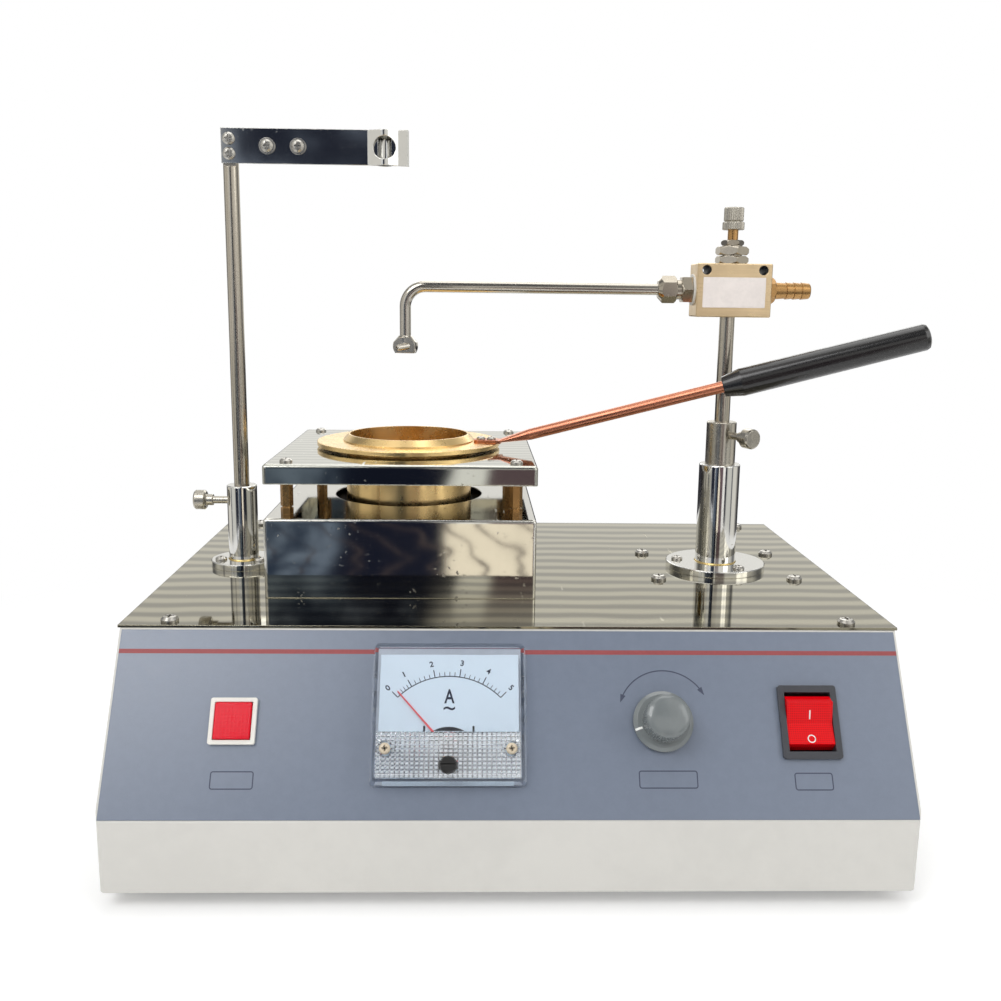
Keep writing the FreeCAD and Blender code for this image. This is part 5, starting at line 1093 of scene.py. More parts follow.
COIL_COPPER = Sheet("coil_copper", (206, 128, 76), 0.3, Axis.X, fineness=1600)
CUP_BRASS = Turned("cup_brass", (236, 204, 144), 0.21, centre=(-52.8, 163.0), fineness=2600, relief=3e-6,
                   streak=0.08, tarnish=0.06)
METER_CLEAR = Clear("meter_clear", (248, 250, 252), 0.015)
# white painted glints on the prism window's tips
WINDOW_PAINTED_GLINT = Clear("window_glint", (252, 252, 252), 0.3, transmission=0.05)
# both reds carry a faint painted glow
BUTTON_RED = LitPlastic("button_red", (226, 4, 36), 0.16, pitch=1.6, glow=0.02, contrast=0.03)
ROCKER_RED = LitPlastic("rocker_red", (232, 4, 18), 0.12, pitch=0.95, glow=0.02, contrast=0.22)
RED_INK = Ink("red_line_ink", (152, 72, 74), 0.45)
DARK_INK = Ink("label_ink", (66, 72, 92), 0.5)
DIAL_INK = Ink("dial_ink", (28, 32, 56), 0.5)
WHITE_INK = Ink("white_ink", (240, 240, 236), 0.4)

NODE_FINISHES: dict[str, Finish] = {
    "casing_shell": CASE_PAINT, "base_plate": ZINC, "rubber_feet": RUBBER, "top_plate": PLATE_STEEL,
    "m4_screws": SCREW_STEEL, "m3_screws": SCREW_STEEL, "front_overlay": FILM,
    "meter_housing": METER_BASE, "meter_dial": DIAL_CARD, "meter_needle": NEEDLE_RED,
    "meter_cover": METER_CLEAR, "meter_screws": SCREW_CREAM, "zero_adjuster": BLACK_GLOSS,
    "scan_button_housing": IVORY, "scan_button": BUTTON_RED, "heat_potentiometer": MOTOR_BRIGHT,
    "potentiometer_shaft": MOTOR_BRIGHT, "heat_knob": KNOB_GREY, "power_switch_housing": BLACK_SATIN,
    "power_rocker": ROCKER_RED, "heater_box": BOX_STEEL, "heater_cover": COVER_STEEL,
    "cover_standoffs": FITTING_BRASS, "heater_plate": HOT_IRON, "heater_former": CERAMIC,
    "heating_coils": COIL_COPPER, "test_cup": CUP_BRASS, "cup_handle": HANDLE_COPPER,
    "handle_grip": BAKELITE, "handle_screws": SCREW_STEEL, "igniter_flange": POST_CHROME,
    "igniter_sleeve": POST_CHROME, "igniter_hub": HUB_SATIN, "igniter_thumb_screw": HUB_SATIN,
    "drive_shaft": MOTOR_BRIGHT, "motor_bracket": ZINC, "scan_motor": MOTOR_GREY,
    "igniter_rod": ROD_STEEL, "valve_body": ANODISED, "valve_bonnet": NICKEL, "valve_locknut": NICKEL,
    "valve_stem": FITTING_BRASS, "tube_connector": NICKEL,
    "compression_nut": NICKEL, "gas_tube": TUBE_STEEL, "igniter_nozzle": TUBE_STEEL,
    "nozzle_jet": TUBE_STEEL, "hose_barb": FITTING_BRASS, "stand_flange": POST_CHROME,
    "stand_sleeve": POST_CHROME, "stand_thumb_screw": HUB_SATIN, "stand_rod": ROD_STEEL,
    "thermometer_arm": ARM_STEEL, "clip_leaf": ARM_STEEL, "arm_screws": SCREW_STEEL,
    "control_board": BOARD_GREEN, "board_parts": CORE_METAL, "power_inlet": INLET_BLACK,
    "inlet_pins": SCREW_BRASS,
}


# ---- sub-assemblies
@dataclass
class PanelPrint:
    """What is printed on the panel's film: a red line, three bare label frames and the heat arrow."""

    film_face: float = 0.3
    ink: float = 0.03
    line_up: float = 73.2
    line_height: float = 2.0
    frames: Rows = ((-128.7, -110.2, 13.5, 21.2), (54.4, 79.9, 13.9, 21.5), (121.8, 138.5, 13.1, 20.6))
    frame_line: float = 0.5
    frame_corner: float = 1.2
    arc_centre: Pair = (67.2, 44.6)
    arc_radius: float = 20.4
    arc_line: float = 0.55
    arc_start: float = 38.0
    arc_end: float = 152.0
    head_length: float = 3.7
    head_width: float = 2.4
    head_lean: float = 0.09

    def lay(self, name: str, bm: Drawing, ink: Material, x: float = 0.0, up: float = 0.0) -> None:
        """Lays one print on the film, at a place in mm."""
        finish_piece(name, bm, panel_place(x, up, self.film_face), ink)

    def label_frames(self) -> Drawing:
        """The rounded frames of the three labels, left bare.

        Returns:
            All three in one drawing.
        """
        bm = bmesh.new()
        for x0, x1, v0, v1 in self.frames:
            ring = outline_frame(x1 - x0, v1 - v0, self.frame_line, self.frame_corner, self.ink)
            join(bm, ring, at((x0 + x1) / 2, (v0 + v1) / 2))
        return bm

    def heat_arrow(self) -> Drawing:
        """The arc over the knob with an arrowhead at both ends.

        Returns:
            The drawing, with the arc's centre at its origin.
        """
        half = self.arc_line / 2
        bm = arc_band(self.arc_radius - half, self.arc_radius + half, self.arc_start, self.arc_end, self.ink)
        for angle, way in ((self.arc_start, -1), (self.arc_end, 1)):
            turn = math.radians(angle)
            side = self.head_width / 2
            head = wedge([(-side, 0), (side, 0), (0, way * self.head_length)], self.ink)
            x, y = self.arc_radius * math.cos(turn), self.arc_radius * math.sin(turn)
            join(bm, head, at(x, y, 0, turn + way * self.head_lean))
        return bm

    def build(self) -> None:
        """Makes all the film's print."""
        ink = DARK_INK.build()
        low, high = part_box("front_overlay")
        line = slab((high.x - low.x) / MM, self.line_height, self.ink)
        self.lay("panel_red_line", line, RED_INK.build(), up=self.line_up)
        self.lay("panel_label_frames", self.label_frames(), ink)
        self.lay("panel_heat_arrow", self.heat_arrow(), ink, *self.arc_centre)


@dataclass
class MeterFace:
    """The dial's print, the movement behind the cover's lower part and its patterned window."""

    middle: float = -27.4
    pivot_up: float = 29.4
    dial_face: float = 5.5
    ink: float = 0.02
    scale_radius: float = 31.6
    half_span: float = 45.0
    line: float = 0.42
    thin_line: float = 0.7
    major: float = 3.5
    minor: float = 1.9
    steps: int = 5
    numbers: Rows = ((-53.6, 55.3), (-46.9, 61.1), (-35.2, 65.5), (-22.0, 66.0), (-10.6, 62.5), (-1.0, 55.5))
    number_size: float = 3.4
    number_out: float = 0.7
    number_bold: float = 0.1
    number_turn: float = 0.9
    major_angles: tuple[float, ...] = (45.0, 31.2, 11.5, -8.1, -27.2, -45.0)
    unit_place: Pair = (-27.3, 51.9)
    unit_size: float = 8.6
    unit_narrow: float = 0.72
    unit_bold: float = 0.16
    wave_size: float = 9.0
    wave_bold: float = 0.10
    wave_drop: float = 4.6
    crescent_half: float = 6.9
    crescent_rise: float = 1.8
    stop_size: Triple = (0.9, 2.6, 0.15)
    stop_corner: float = 0.3
    stop_place: Pair = (10.6, 0.9)
    dial_low: float = 37.3
    base_face: float = 2.3
    bar_size: Triple = (4.0, 11.0, 2.2)
    magnet_outline: Rows = ((5.6, 0), (8.6, 0), (9.0, 0.4), (9.0, 2.0), (8.6, 2.4), (5.6, 2.4))
    bar_corner: float = 0.8
    bar_place: Triple = (6.6, -1.0, 0.1)
    coil_turns: int = 7
    coil_pitch: float = 0.30
    coil_radii: Triple = (3.0, 6.0, 6.25)
    coil_ends: Pair = (0.2, 2.3)
    coil_oval: Triple = (0.5, 0.82, 1)
    coil_up: float = 0.5
    card_size: Triple = (56.0, 22.6, 0.25)
    card_corner: float = 0.5
    card_up: float = 27.0
    window_face: float = 8.82
    window_thick: float = 0.25
    window_low: float = 17.2
    prism_columns: int = 30
    prism_rows: int = 11
    prism_pitch: Pair = (2.05, 1.75)
    prism_inset: float = 0.56
    prism_depth: float = 0.45
    prism_smooth: float = math.radians(5)
    zero_up: float = 22.6
    zero_hole: float = 3.9
    screw_out: float = 26.9
    screw_hole: float = 2.9
    cross_size: Triple = (2.2, 0.5, 0.06)
    cross_turn: float = 0.4
    cross_lift: float = 0.02

    def place(self, name: str, bm: Drawing, up: float, out: float, material: Material,
              slot: str, smooth: float = SMOOTH_ANGLE) -> bpy.types.Object:
        """Puts one piece on the meter's middle line, at a height and a depth in mm."""
        return finish_piece(name, bm, panel_place(self.middle, up, out), material, smooth=smooth)

    def ticks(self, bm: Drawing) -> None:
        """Adds the scale's long and short ticks.

        Args:
            bm: the dial's print.
        """
        marks = [(self.major_angles[-1], True)]
        for first, last in zip(self.major_angles, self.major_angles[1:]):
            marks += [(first + (last - first) * k / self.steps, k == 0) for k in range(self.steps)]
        for angle, is_long in marks:
            length = self.major if is_long else self.minor
            tick = slab(self.line if is_long else self.line * self.thin_line, length, self.ink)
            shift(tick, 0, self.scale_radius + length / 2, 0)
            join(bm, tick, at(0, 0, 0, math.radians(angle)))

    def dial_print(self) -> Drawing:
        """The scale's arc, its ticks, the numbers 0 to 5 and the unit.

        Returns:
            The drawing, with the needle's pivot at its origin.
        """
        half = self.line / 2
        bm = arc_band(self.scale_radius - half, self.scale_radius + half,
                      90 - self.half_span, 90 + self.half_span, self.ink)
        self.ticks(bm)
        for value, (x, up) in enumerate(self.numbers):
            dx, dy = x - self.middle, up - self.pivot_up
            turn = (math.atan2(dy, dx) - math.pi / 2) * self.number_turn
            reach = 1 + self.number_out / math.hypot(dx, dy)
            number = lettering(str(value), self.number_size, self.ink, self.number_bold)
            join(bm, number, at(dx * reach, dy * reach, 0, turn))
        dx, dy = self.unit_place[0] - self.middle, self.unit_place[1] - self.pivot_up
        narrow = Matrix.Diagonal((self.unit_narrow, 1, 1, 1))
        join(bm, lettering("A", self.unit_size, self.ink, self.unit_bold), at(dx, dy) @ narrow)
        join(bm, lettering("~", self.wave_size, self.ink, self.wave_bold), at(dx, dy - self.wave_drop))
        return bm

    def dial_opening(self) -> Drawing:
        """The dark crescent at the dial's lower edge and the two stops beside it.

        Returns:
            The drawing, with the crescent's foot at its origin.
        """
        half, rise = self.crescent_half, self.crescent_rise
        radius = (half * half + rise * rise) / (2 * rise)
        reach = math.degrees(math.asin(half / radius))
        bm = arc_band(0.001, radius, 90 - reach, 90 + reach, self.ink, 24)
        shift(bm, 0, rise - radius, 0)
        cut(bm, 0, (0, -1, 0), clear=True)
        bmesh.ops.holes_fill(bm, edges=[e for e in bm.edges if e.is_boundary], sides=0)
        out, up = self.stop_place
        for side in (-1, 1):
            join(bm, slab(*self.stop_size, self.stop_corner, 2), at(side * out, up))
        return bm

    def magnet(self) -> Drawing:
        """The magnet's ring between its two bars.

        Returns:
            The drawing, with the needle's pivot at its origin.
        """
        bm = lathe(self.magnet_outline, 48)
        out, up, lift = self.bar_place
        for side in (-1, 1):
            join(bm, slab(*self.bar_size, self.bar_corner, 3), at(side * out, up, lift))
        return bm

    def coil(self) -> Drawing:
        """The wound coil inside the magnet's ring.

        Returns:
            The drawing, pressed to an oval.
        """
        inner, groove, crest = self.coil_radii
        foot, top = self.coil_ends
        turns = [(inner, foot)]
        for k in range(self.coil_turns):
            low = foot + k * self.coil_pitch
            turns += [(groove, low), (crest, low + self.coil_pitch / 2)]
        bm = lathe(turns + [(groove, top), (inner, top)], 48)
        bmesh.ops.scale(bm, vec=self.coil_oval, verts=bm.verts)
        return bm

    def window(self) -> None:
        """The cover's lower part: rows of small raised squares inside its face, whose white tips are painted
        glints.
        """
        width, height = self.prism_columns * self.prism_pitch[0], self.prism_rows * self.prism_pitch[1]
        middle_up = self.window_low + height / 2
        bm = grid(width, height, self.prism_columns, self.prism_rows)
        faces = bm.faces[:]
        lid = corners_of(bmesh.ops.duplicate(bm, geom=faces)["geom"])
        bmesh.ops.translate(bm, vec=(0, 0, self.window_thick * MM), verts=lid)
        bmesh.ops.bridge_loops(bm, edges=[e for e in bm.edges if e.is_boundary])
        bmesh.ops.reverse_faces(bm, faces=[f for f in faces if f.normal.z > 0])
        bmesh.ops.inset_individual(bm, faces=faces, thickness=self.prism_inset * MM,
                                   depth=self.prism_depth * MM)
        # the tips take the white second material: painted glints
        for tip in faces:
            tip.material_index = 1
        holes = [(0.0, self.zero_up, self.zero_hole)]
        holes += [(side * self.screw_out, self.pivot_up, self.screw_hole) for side in (-1, 1)]
        for x, up, radius in holes:
            middle = Vector((x, up - middle_up)) * MM
            near = [f for f in bm.faces if (f.calc_center_median().xy - middle).length < radius * MM]
            bmesh.ops.delete(bm, geom=near, context="FACES")
        piece = self.place("meter_prism_window", bm, middle_up, self.window_face, METER_CLEAR.build(),
                           "meter_clear", self.prism_smooth)
        piece.data.materials.append(WINDOW_PAINTED_GLINT.build())

    def screw_crosses(self) -> None:
        """The small dark crosses on the two case screws: painted shade of their recesses."""
        bm = bmesh.new()
        place = panel_place(self.middle, self.pivot_up)
        for side in (-1, 1):
            for turn in (self.cross_turn, self.cross_turn + math.pi / 2):
                join(bm, bendable(slab(*self.cross_size), 3), at(side * self.screw_out, 0, 0, turn))
        bm = drape(bm, place, "meter_screws", self.cross_lift)
        # dark crosses laid on the heads: painted shade of the recesses
        finish_piece("meter_screw_cross_shade", bm, place, CROSS_PAINTED_SHADE.build())

    def build(self) -> None:
        """Makes the meter's print, movement and window."""
        dark = DARK_IRON.build()
        up, face, base = self.pivot_up, self.dial_face, self.base_face
        card = slab(*self.card_size, self.card_corner, 2)
        self.place("meter_dial_print", self.dial_print(), up, face, DIAL_INK.build(), "dial_white")
        self.place("meter_dial_opening", self.dial_opening(), self.dial_low, face, dark, "dial_white")
        self.place("meter_magnet", self.magnet(), up, base, dark, "black_plastic")
        self.place("meter_coil", self.coil(), up + self.coil_up, base, COIL_COPPER.build(), "copper")
        self.place("meter_back_card", card, self.card_up, base, DIAL_CARD.build(), "dial_white")
        self.window()
        self.screw_crosses()


@dataclass
class HeatKnob:
    """The knob's domed cap, the ribs on its drum and the pointer mark on its skirt."""

    x: float = 66.0
    up: float = 42.2
    cap_outline: Rows = ((0, -0.4), (9.2, -0.4), (9.2, 0.1), (9.08, 0.24), (8.7, 0.24), (8.58, 0.36),
                         (7.0, 0.8), (4.6, 1.12), (0, 1.25))
    grip_radius: float = 9.5
    grip_low: float = 2.9
    ribs: int = 44
    rib_cut: Pair = (0.3, 0.3)
    cap_gap: float = 0.3
    mark_thick: float = 0.05
    mark_lift: float = 0.03
    angle: float = 197.0
    start: float = 9.9
    end: float = 13.0
    width: float = 1.0

    def build(self) -> None:
        """Makes the cap, the ribs and the white mark that lies on the skirt."""
        body, slot = "heat_knob", "knob_grey"
        grey = KNOB_GREY.build()
        middle = panel_place(self.x, self.up)
        out = middle.to_3x3() @ Vector((0, 0, 1))
        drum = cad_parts["heat_knob"].data
        top = max((vert.co - middle.translation).dot(out) for vert in drum.vertices) / MM
        cap = lathe(self.cap_outline)
        finish_piece("heat_knob_cap", cap, panel_place(self.x, self.up, top), grey, body)
        grip = knurled(self.grip_radius, self.grip_low, top - self.cap_gap, self.ribs, *self.rib_cut)
        finish_piece("heat_knob_ribs", grip, middle, grey, body)
        place = panel_place(self.x, self.up, 0, math.radians(self.angle)) @ at((self.start + self.end) / 2, 0)
        mark = bendable(slab(self.end - self.start, self.width, self.mark_thick), 5)
        mark = drape(mark, place, "heat_knob", self.mark_lift)
        finish_piece("heat_knob_mark", mark, place, WHITE_INK.build(), body)


@dataclass
class RockerMarks:
    """The I and O moulded white on the rocker."""

    x: float = 130.6
    up: float = 42.2
    thick: float = 0.06
    lift: float = 0.03
    bar_size: Pair = (0.55, 3.6)
    bar_up: float = 2.9
    ring_radii: Pair = (1.35, 1.8)
    ring_up: float = -7.4

    def build(self) -> None:
        """Makes both marks and lays them on the rocker's two faces."""
        bm = slab(*self.bar_size, self.thick)
        shift(bm, 0, self.bar_up, 0)
        join(bm, arc_band(*self.ring_radii, 0, 360, self.thick, 32), at(0, self.ring_up))
        place = panel_place(self.x, self.up)
        bm = drape(bm, place, "power_rocker", self.lift)
        finish_piece("power_rocker_marks", bm, place, WHITE_INK.build(), "power_rocker")


@dataclass
class NeedleValve:
    """The valve's bare label, dark sleeves in its two holes that paint their shade, the seal at its port and
    the ridged knob.
    """

    label: Quad = (101.7, 134.6, 254.0, 269.6)
    label_thick: float = 0.08
    label_corner: float = 0.4
    face_y: float = 147.5
    middle_x: float = 118.2
    y: float = 157.0
    depth: float = 19.0
    hole_spacing: float = 29.8
    hole_up: float = 273.3
    # the dark sleeves in the screw holes are painted shade
    liner_radii: Pair = (2.25, 2.48)
    liner_inset: float = 0.3
    seal: Quad = (6.6, 8.2, 0.0, 1.0)
    left_port: Pair = (98.5, 263.1)
    ring_radius: float = 5.7
    ring_height: float = 4.0
    groove: float = 0.4
    grip_radius: float = 5.15
    ridges: int = 30
    ring_cut: Pair = (0.4, 0.35)
    grip_cut: Pair = (0.38, 0.4)
    core_radii: Pair = (2.7, 4.45)
    core_ends: Pair = (0.2, 0.6)

    def liners(self) -> Drawing:
        """Dark sleeves inside the two screw holes, painted shade where the holes are dark.

        Returns:
            The drawing, with the holes along Z.
        """
        bm = bmesh.new()
        for side in (-1, 1):
            shade_sleeve = tube(*self.liner_radii, self.liner_inset, self.depth - self.liner_inset, 32)
            join(bm, shade_sleeve, Matrix.Translation((side * self.hole_spacing / 2 * MM, 0, 0)))
        return bm

    def knob(self) -> None:
        """The finely ridged knob: a ring, a groove and the taller grip over it."""
        low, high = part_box("valve_knob")
        top = (high.z - low.z) / MM
        above, below = self.core_ends
        bm = knurled(self.ring_radius, 0, self.ring_height, self.ridges, *self.ring_cut)
        join(bm, tube(*self.core_radii, above, top - below))
        join(bm, knurled(self.grip_radius, self.ring_height + self.groove, top, self.ridges, *self.grip_cut))
        place = moved(Vector(((low.x + high.x) / 2, (low.y + high.y) / 2, low.z)))
        satin = HUB_SATIN.build()
        piece = finish_piece("valve_knob_grip", bm, place, satin, "needle_valve_knob")
        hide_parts("valve_knob")

    def build(self) -> None:
        """Makes the valve's trim."""
        x0, x1, z0, z1 = self.label
        port_x, port_up = self.left_port
        upright = math.pi / 2
        face = moved(drawn((x0 + x1) / 2, self.face_y, (z0 + z1) / 2), upright, "X")
        front = moved(drawn(self.middle_x, self.y + self.depth / 2, self.hole_up), upright, "X")
        port = moved(drawn(port_x, self.y, port_up), -upright, "Y")
        label = slab(x1 - x0, z1 - z0, self.label_thick, self.label_corner, 2)
        for name, bm, place, finish, slot in (
                ("valve_label", label, face, LABEL_PAPER, "valve_gold"),
                # dark sleeves in the holes: painted shade inside the screw holes
                ("valve_hole_shade_sleeves", self.liners(), front, SHADE_SLEEVE_DARK, "valve_gold"),
                ("valve_port_seal", tube(*self.seal), port, SEAL_TAPE, "fitting_nickel")):
            finish_piece(name, bm, place, finish.build(), "igniter_head")
        self.knob()


@dataclass
class Posts:
    """Brazed rings where the sleeves stand on their flanges."""

    rings: tuple[tuple[str, float, float, float], ...] = (
        ("igniter_braze", 117.4, 157.0, 11.0), ("stand_braze", -143.2, 157.0, 8.0))
    flange_top: float = 115.5
    outline: Rows = ((-0.2, 0), (0.5, 0), (0.32, 0.35), (0.1, 0.6), (-0.2, 0.7))

    def build(self) -> None:
        """Makes a ring round each sleeve."""
        brass = SCREW_BRASS.build()
        for name, x, y, radius in self.rings:
            bm = lathe([(radius + out, up) for out, up in self.outline])
            finish_piece(name, bm, moved(drawn(x, y, self.flange_top)), brass)


# ---- studio
def tones(*held: tuple[float, ...]) -> Rows:
    """A line of tones as ramp stops.

    Args:
        *held: (start, end, red, green, blue), each tone held from its start to its end.

    Returns:
        The stops: (place, red, green, blue).
    """
    return tuple((place, *color) for start, end, *color in held for place in sorted({start, end}))


OPERATOR_LEFT = ((-0.6, -0.36, 225, 226, 228), (-0.28, -0.28, 110, 122, 135), (-0.18, -0.18, 100, 112, 128),
                 (-0.163, -0.062, 22, 26, 40))
OPERATOR_RIGHT = (0.23, 0.23, 225, 224, 222)


@dataclass
class Studio:
    """A pale floor, a white surround, cards that only polished metal sees, soft lamps and the camera."""

    focal_pixels: float = 1056.66
    frame_pixels: float = 1001.0
    eye: Triple = (-0.034153, -0.549193, 0.256853)
    pitch: float = 0.188069
    yaw: float = 0.0277921
    roll: float = 0.0123865
    daylight: float = 0.42
    floor_radius: float = 4.0
    floor_lift: float = 0.22
    floor_fade: Pair = (0.24, 0.55)
    card_half: float = 0.6
    card_foot: Pair = (-0.60, -0.42)
    card_top: float = 0.5
    card_low: float = 0.002
    card_strength: float = 1.5
    ring_radius: float = 0.7
    ring_height: float = 0.19
    turn_offset: float = 0.1
    far_tones: Rows = tones(
        (0.0, 0.08, 95, 97, 102), (0.17, 0.30, 250, 248, 244), (0.33, 0.33, 150, 150, 152),
        (0.36, 0.36, 245, 243, 238), (0.50, 0.50, 235, 234, 230), (0.62, 0.70, 140, 141, 144),
        (0.78, 1.0, 245, 244, 240))
    ring_tones: Rows = tones(
        (0.0, 0.24, 30, 34, 46), (0.28, 0.40, 182, 182, 178), (0.42, 0.44, 90, 92, 98),
        (0.46, 0.58, 194, 192, 186), (0.66, 0.66, 90, 88, 88), (0.74, 1.0, 44, 44, 48))
    card_rows: tuple[Rows, ...] = (
        tones(*OPERATOR_LEFT, (-0.055, 0.03, 235, 225, 205), (0.04, 0.19, 95, 80, 85), OPERATOR_RIGHT),
        tones(*OPERATOR_LEFT, (-0.055, -0.028, 235, 235, 232), (-0.02, 0.19, 95, 80, 85), OPERATOR_RIGHT),
        tones((-0.6, -0.34, 225, 226, 228), (-0.29, -0.29, 34, 38, 50), (-0.09, -0.09, 28, 32, 44),
              (-0.07, -0.07, 190, 188, 184), (0.25, 0.25, 215, 214, 212)))
    middle_row: Pair = (0.062, 0.067)
    upper_row: Pair = (0.24, 0.32)
    fold_tone: Triple = (70, 62, 62)
    cloud_tone: Triple = (40, 50, 66)
    streak_tone: Triple = (116, 126, 142)
    lamps: tuple[tuple[str, Triple, Pair, float], ...] = (
        ("key_lamp", (-0.9, -1.1, 1.5), (1.2, 0.9), 14.0),
        ("fill_lamp", (1.3, -0.9, 1.0), (0.9, 1.2), 6.0),
        ("top_lamp", (0.1, 0.3, 1.7), (1.2, 1.2), 7.0),
        ("back_lamp", (0.2, 1.7, 1.1), (1.6, 0.8), 7.0),
    )
    lamp_aim: Triple = (0, 0, 0.12)

    def camera(self) -> None:
        """Places the camera at the operator's eye."""
        data = bpy.data.cameras.new("camera")
        data.sensor_width = 36.0
        data.lens = self.focal_pixels / self.frame_pixels * data.sensor_width
        data.clip_start = 0.01
        cp, sp = math.cos(self.pitch), math.sin(self.pitch)
        cy, sy = math.cos(self.yaw), math.sin(self.yaw)
        forward = Vector((sy * cp, cy * cp, -sp))
        right = Vector((cy, -sy, 0))
        up = right.cross(forward)
        c, s = math.cos(self.roll), math.sin(self.roll)
        columns = (c * right + s * up, c * up - s * right, -forward, Vector(self.eye))
        camera = link("camera", data)
        camera.matrix_world = Matrix([[col[k] for col in columns] for k in range(3)] + [[0, 0, 0, 1]])
        bpy.context.scene.camera = camera

    def stage(self, name: str, bm: Drawing, material: Material) -> None:
        """Sets up one piece of the studio that isn't part of the object.

        Args:
            name: its name.
            bm: its drawing, in metres.
            material: what it shows.
        """
        mesh = baked(name, bm)
        mesh.materials.append(material)
        link(name, mesh)

    def floor(self) -> None:
        """A wide pale floor that keeps the object's shadow."""
        bm = bmesh.new()
        bmesh.ops.create_circle(bm, cap_ends=True, segments=96, radius=self.floor_radius)
        s = Surface("floor_paint")
        cloud = s.noise(s.place, 3.0, 2.0)
        s.set(Base_Color=s.mix(cloud, linear(246, 246, 246), linear(250, 250, 250)), Roughness=0.75,
              Specular_IOR_Level=0.1)
        path = s.node("LightPath").outputs
        bent = s.math("MAXIMUM", path["Is Glossy Ray"], path["Is Transmission Ray"])
        seen = s.math("MAXIMUM", path["Is Camera Ray"], bent)
        lift = s.glow(WHITE, s.math("MULTIPLY", seen, self.floor_lift))
        near = s.node("AddShader", {0: s.shader.outputs[0], 1: lift}).outputs[0]
        reach = s.vector("LENGTH", "Value", s.place)
        far = s.math("MULTIPLY", s.stretch(reach, *self.floor_fade), seen)
        s.show(s.either(far, near, s.glow(WHITE, 1.0)))
        self.stage("floor", bm, s.material)

    def surround(self) -> None:
        """White where the camera or clear plastic sees it, toned for metal, plain daylight for the rest."""
        world = bpy.data.worlds.new("studio")
        world.use_nodes = True
        bpy.context.scene.world = world
        g = Graph(world.node_tree)
        background = world.node_tree.nodes["Background"]
        path = g.node("LightPath").outputs
        studio = g.ramp(self.around(g, g.node("TexCoord").outputs["Generated"]), self.far_tones)
        glossy = path["Is Glossy Ray"]
        seen = g.math("MAXIMUM", path["Is Camera Ray"], path["Is Transmission Ray"])
        shown = g.math("MAXIMUM", seen, glossy)
        g.feed(background.inputs["Color"], g.mix(glossy, WHITE, studio))
        g.feed(background.inputs["Strength"], g.blend(shown, self.daylight, 1.0))

    def around(self, g: Graph, direction: object) -> Socket:
        """How far round a direction lies: 0 at the operator, 1 at the back.

        Args:
            g: the tree that asks.
            direction: the direction's socket.

        Returns:
            The share of half a turn.
        """
        parts = g.node("SeparateXYZ", {0: direction}).outputs
        turn = g.math("ARCTAN2", parts[0], g.math("MULTIPLY", parts[1], -1.0))
        return g.math("DIVIDE", g.math("ABSOLUTE", g.math("ADD", turn, self.turn_offset)), math.pi)

    def mirror_card(self, name: str, bm: Drawing, paint: Callable[[Surface], Socket]) -> None:
        """A studio card that only polished metal sees.

        Args:
            name: the card's name.
            bm: its drawing, in metres.
            paint: gives the card's colour.
        """
        s = Surface(name)
        shine = s.glow(paint(s), self.card_strength)
        clear = s.node("BsdfTransparent").outputs[0]
        s.show(s.either(s.node("LightPath").outputs["Is Glossy Ray"], clear, shine))
        self.stage(name, bm, s.material)

    def sweep(self, bm: Drawing, edges: list[bmesh.types.BMEdge], way: Triple) -> None:
        """Sweeps edges into faces along a way in metres."""
        swept = bmesh.ops.extrude_edge_only(bm, edges=edges)["geom"]
        bmesh.ops.translate(bm, vec=way, verts=corners_of(swept))

    def cards(self) -> None:
        """The operator's side and a low ring round the bench, as metal sees them."""
        back, front = self.card_foot
        bm = bmesh.new()
        corners = ((back, self.card_top), (back, self.card_low), (front, self.card_low))
        line = [bm.verts.new((-self.card_half, y, z)) for y, z in corners]
        self.sweep(bm, [bm.edges.new(pair) for pair in zip(line, line[1:])], (2 * self.card_half, 0, 0))
        self.mirror_card("operator_card", bm, self.operator_tones)
        ring = bmesh.new()
        bmesh.ops.create_circle(ring, cap_ends=False, segments=96, radius=self.ring_radius)
        bmesh.ops.translate(ring, vec=(0, 0, self.card_low), verts=ring.verts)
        self.sweep(ring, ring.edges[:], (0, 0, self.ring_height))
        self.mirror_card("ring_card", ring, lambda s: s.ramp(self.around(s, s.place), self.ring_tones))

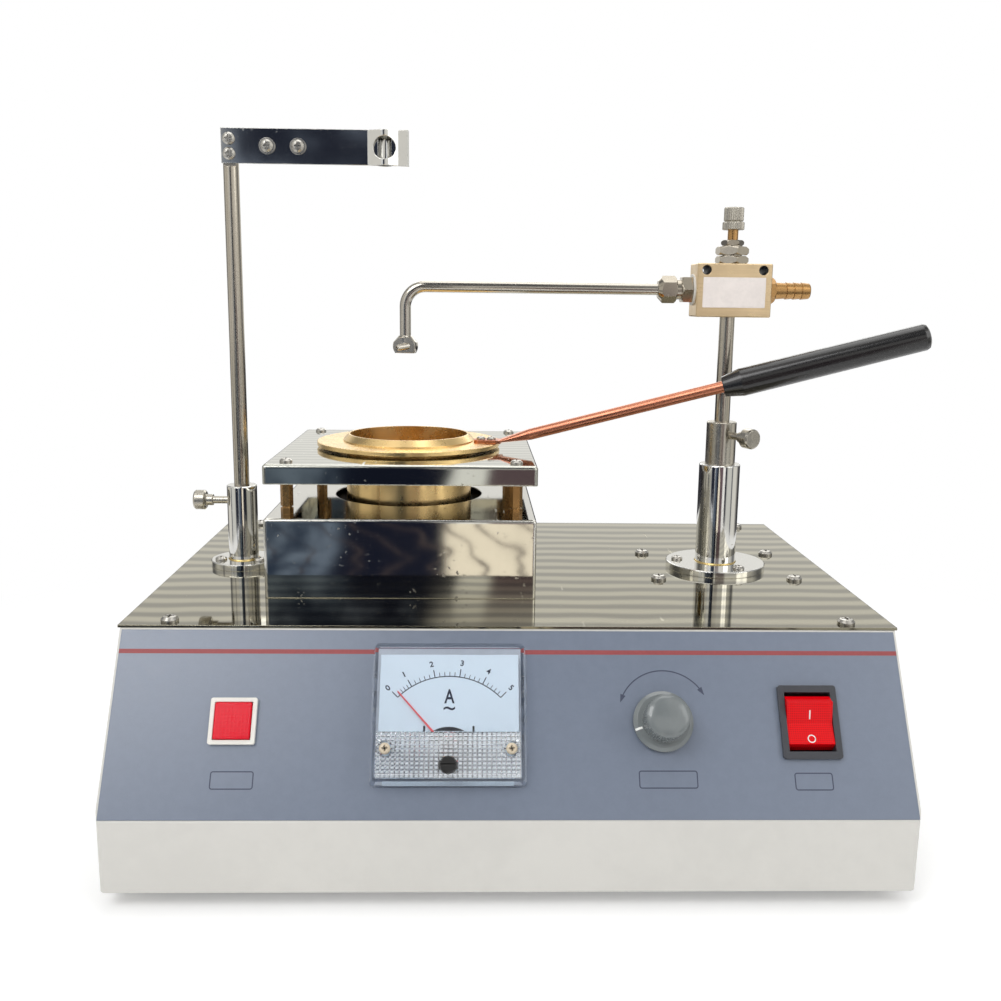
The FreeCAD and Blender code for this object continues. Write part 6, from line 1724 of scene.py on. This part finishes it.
    def operator_tones(self, s: Surface) -> Socket:
        """The front card's colours: three rows, each with its own tones from left to right.

        Args:
            s: the card's surface.

        Returns:
            Its colour.
        """
        half = self.card_half
        x, _, z = s.node("SeparateXYZ", {0: s.place}).outputs
        waver = s.math("MULTIPLY", s.math("SUBTRACT", s.noise(s.place, 9.0, 2.0), 0.5), 0.05)
        across = s.math("DIVIDE", s.math("ADD", s.math("ADD", x, waver), half), 2 * half)
        low, middle, high = (
            s.ramp(across, tuple(((place + half) / (2 * half), *color) for place, *color in row))
            for row in self.card_rows)
        folds = s.node("TexWave", {"Vector": s.scaled(s.place, (1.0, 1.0, 2.2), (0, 0.6, 0)), "Scale": 9.0,
                                   "Distortion": 5.0, "Detail": 1.0, "Detail Scale": 2.0}).outputs["Fac"]
        low = s.mix(s.stretch(folds, 0.93, 0.99), low, linear(*self.fold_tone))
        color = s.mix(s.stretch(z, *self.middle_row), low, middle)
        left = s.stretch(x, -0.15, -0.18)
        clouds = s.stretch(s.noise(s.place, 15.0, 4.0, 0.65), 0.4, 0.62)
        color = s.mix(s.math("MULTIPLY", left, clouds), color, linear(*self.cloud_tone))
        streaks = s.stretch(s.noise(s.place, 22.0, 5.0, 0.7), 0.5, 0.66)
        left = s.stretch(x, -0.07, -0.1)
        high = s.mix(s.math("MULTIPLY", streaks, left), high, linear(*self.streak_tone))
        return s.mix(s.stretch(z, *self.upper_row), color, high)

    def light(self) -> None:
        """Soft lamps that look at the object's middle."""
        for name, place, (wide, high), power in self.lamps:
            data = bpy.data.lights.new(name, "AREA")
            data.shape = "RECTANGLE"
            data.size = wide
            data.size_y = high
            data.energy = power
            lamp = link(name, data)
            lamp.location = place
            lamp.rotation_euler = (Vector(self.lamp_aim) - Vector(place)).to_track_quat("-Z", "Y").to_euler()

    def build(self) -> None:
        """Sets up the stage."""
        self.camera()
        self.floor()
        self.surround()
        self.cards()
        self.light()
        bpy.context.scene.view_settings.view_transform = "Standard"


def main() -> None:
    """Builds the stage and every piece in order."""
    Studio().build()
    CarriedFrame(NODE_FINISHES).dress()
    for assembly in (PanelPrint(), MeterFace(), HeatKnob(), RockerMarks(), NeedleValve(), Posts()):
        assembly.build()
        LOG.info("%s is built", type(assembly).__name__)
    bpy.context.view_layer.update()


if __name__ == "__main__":
    main()
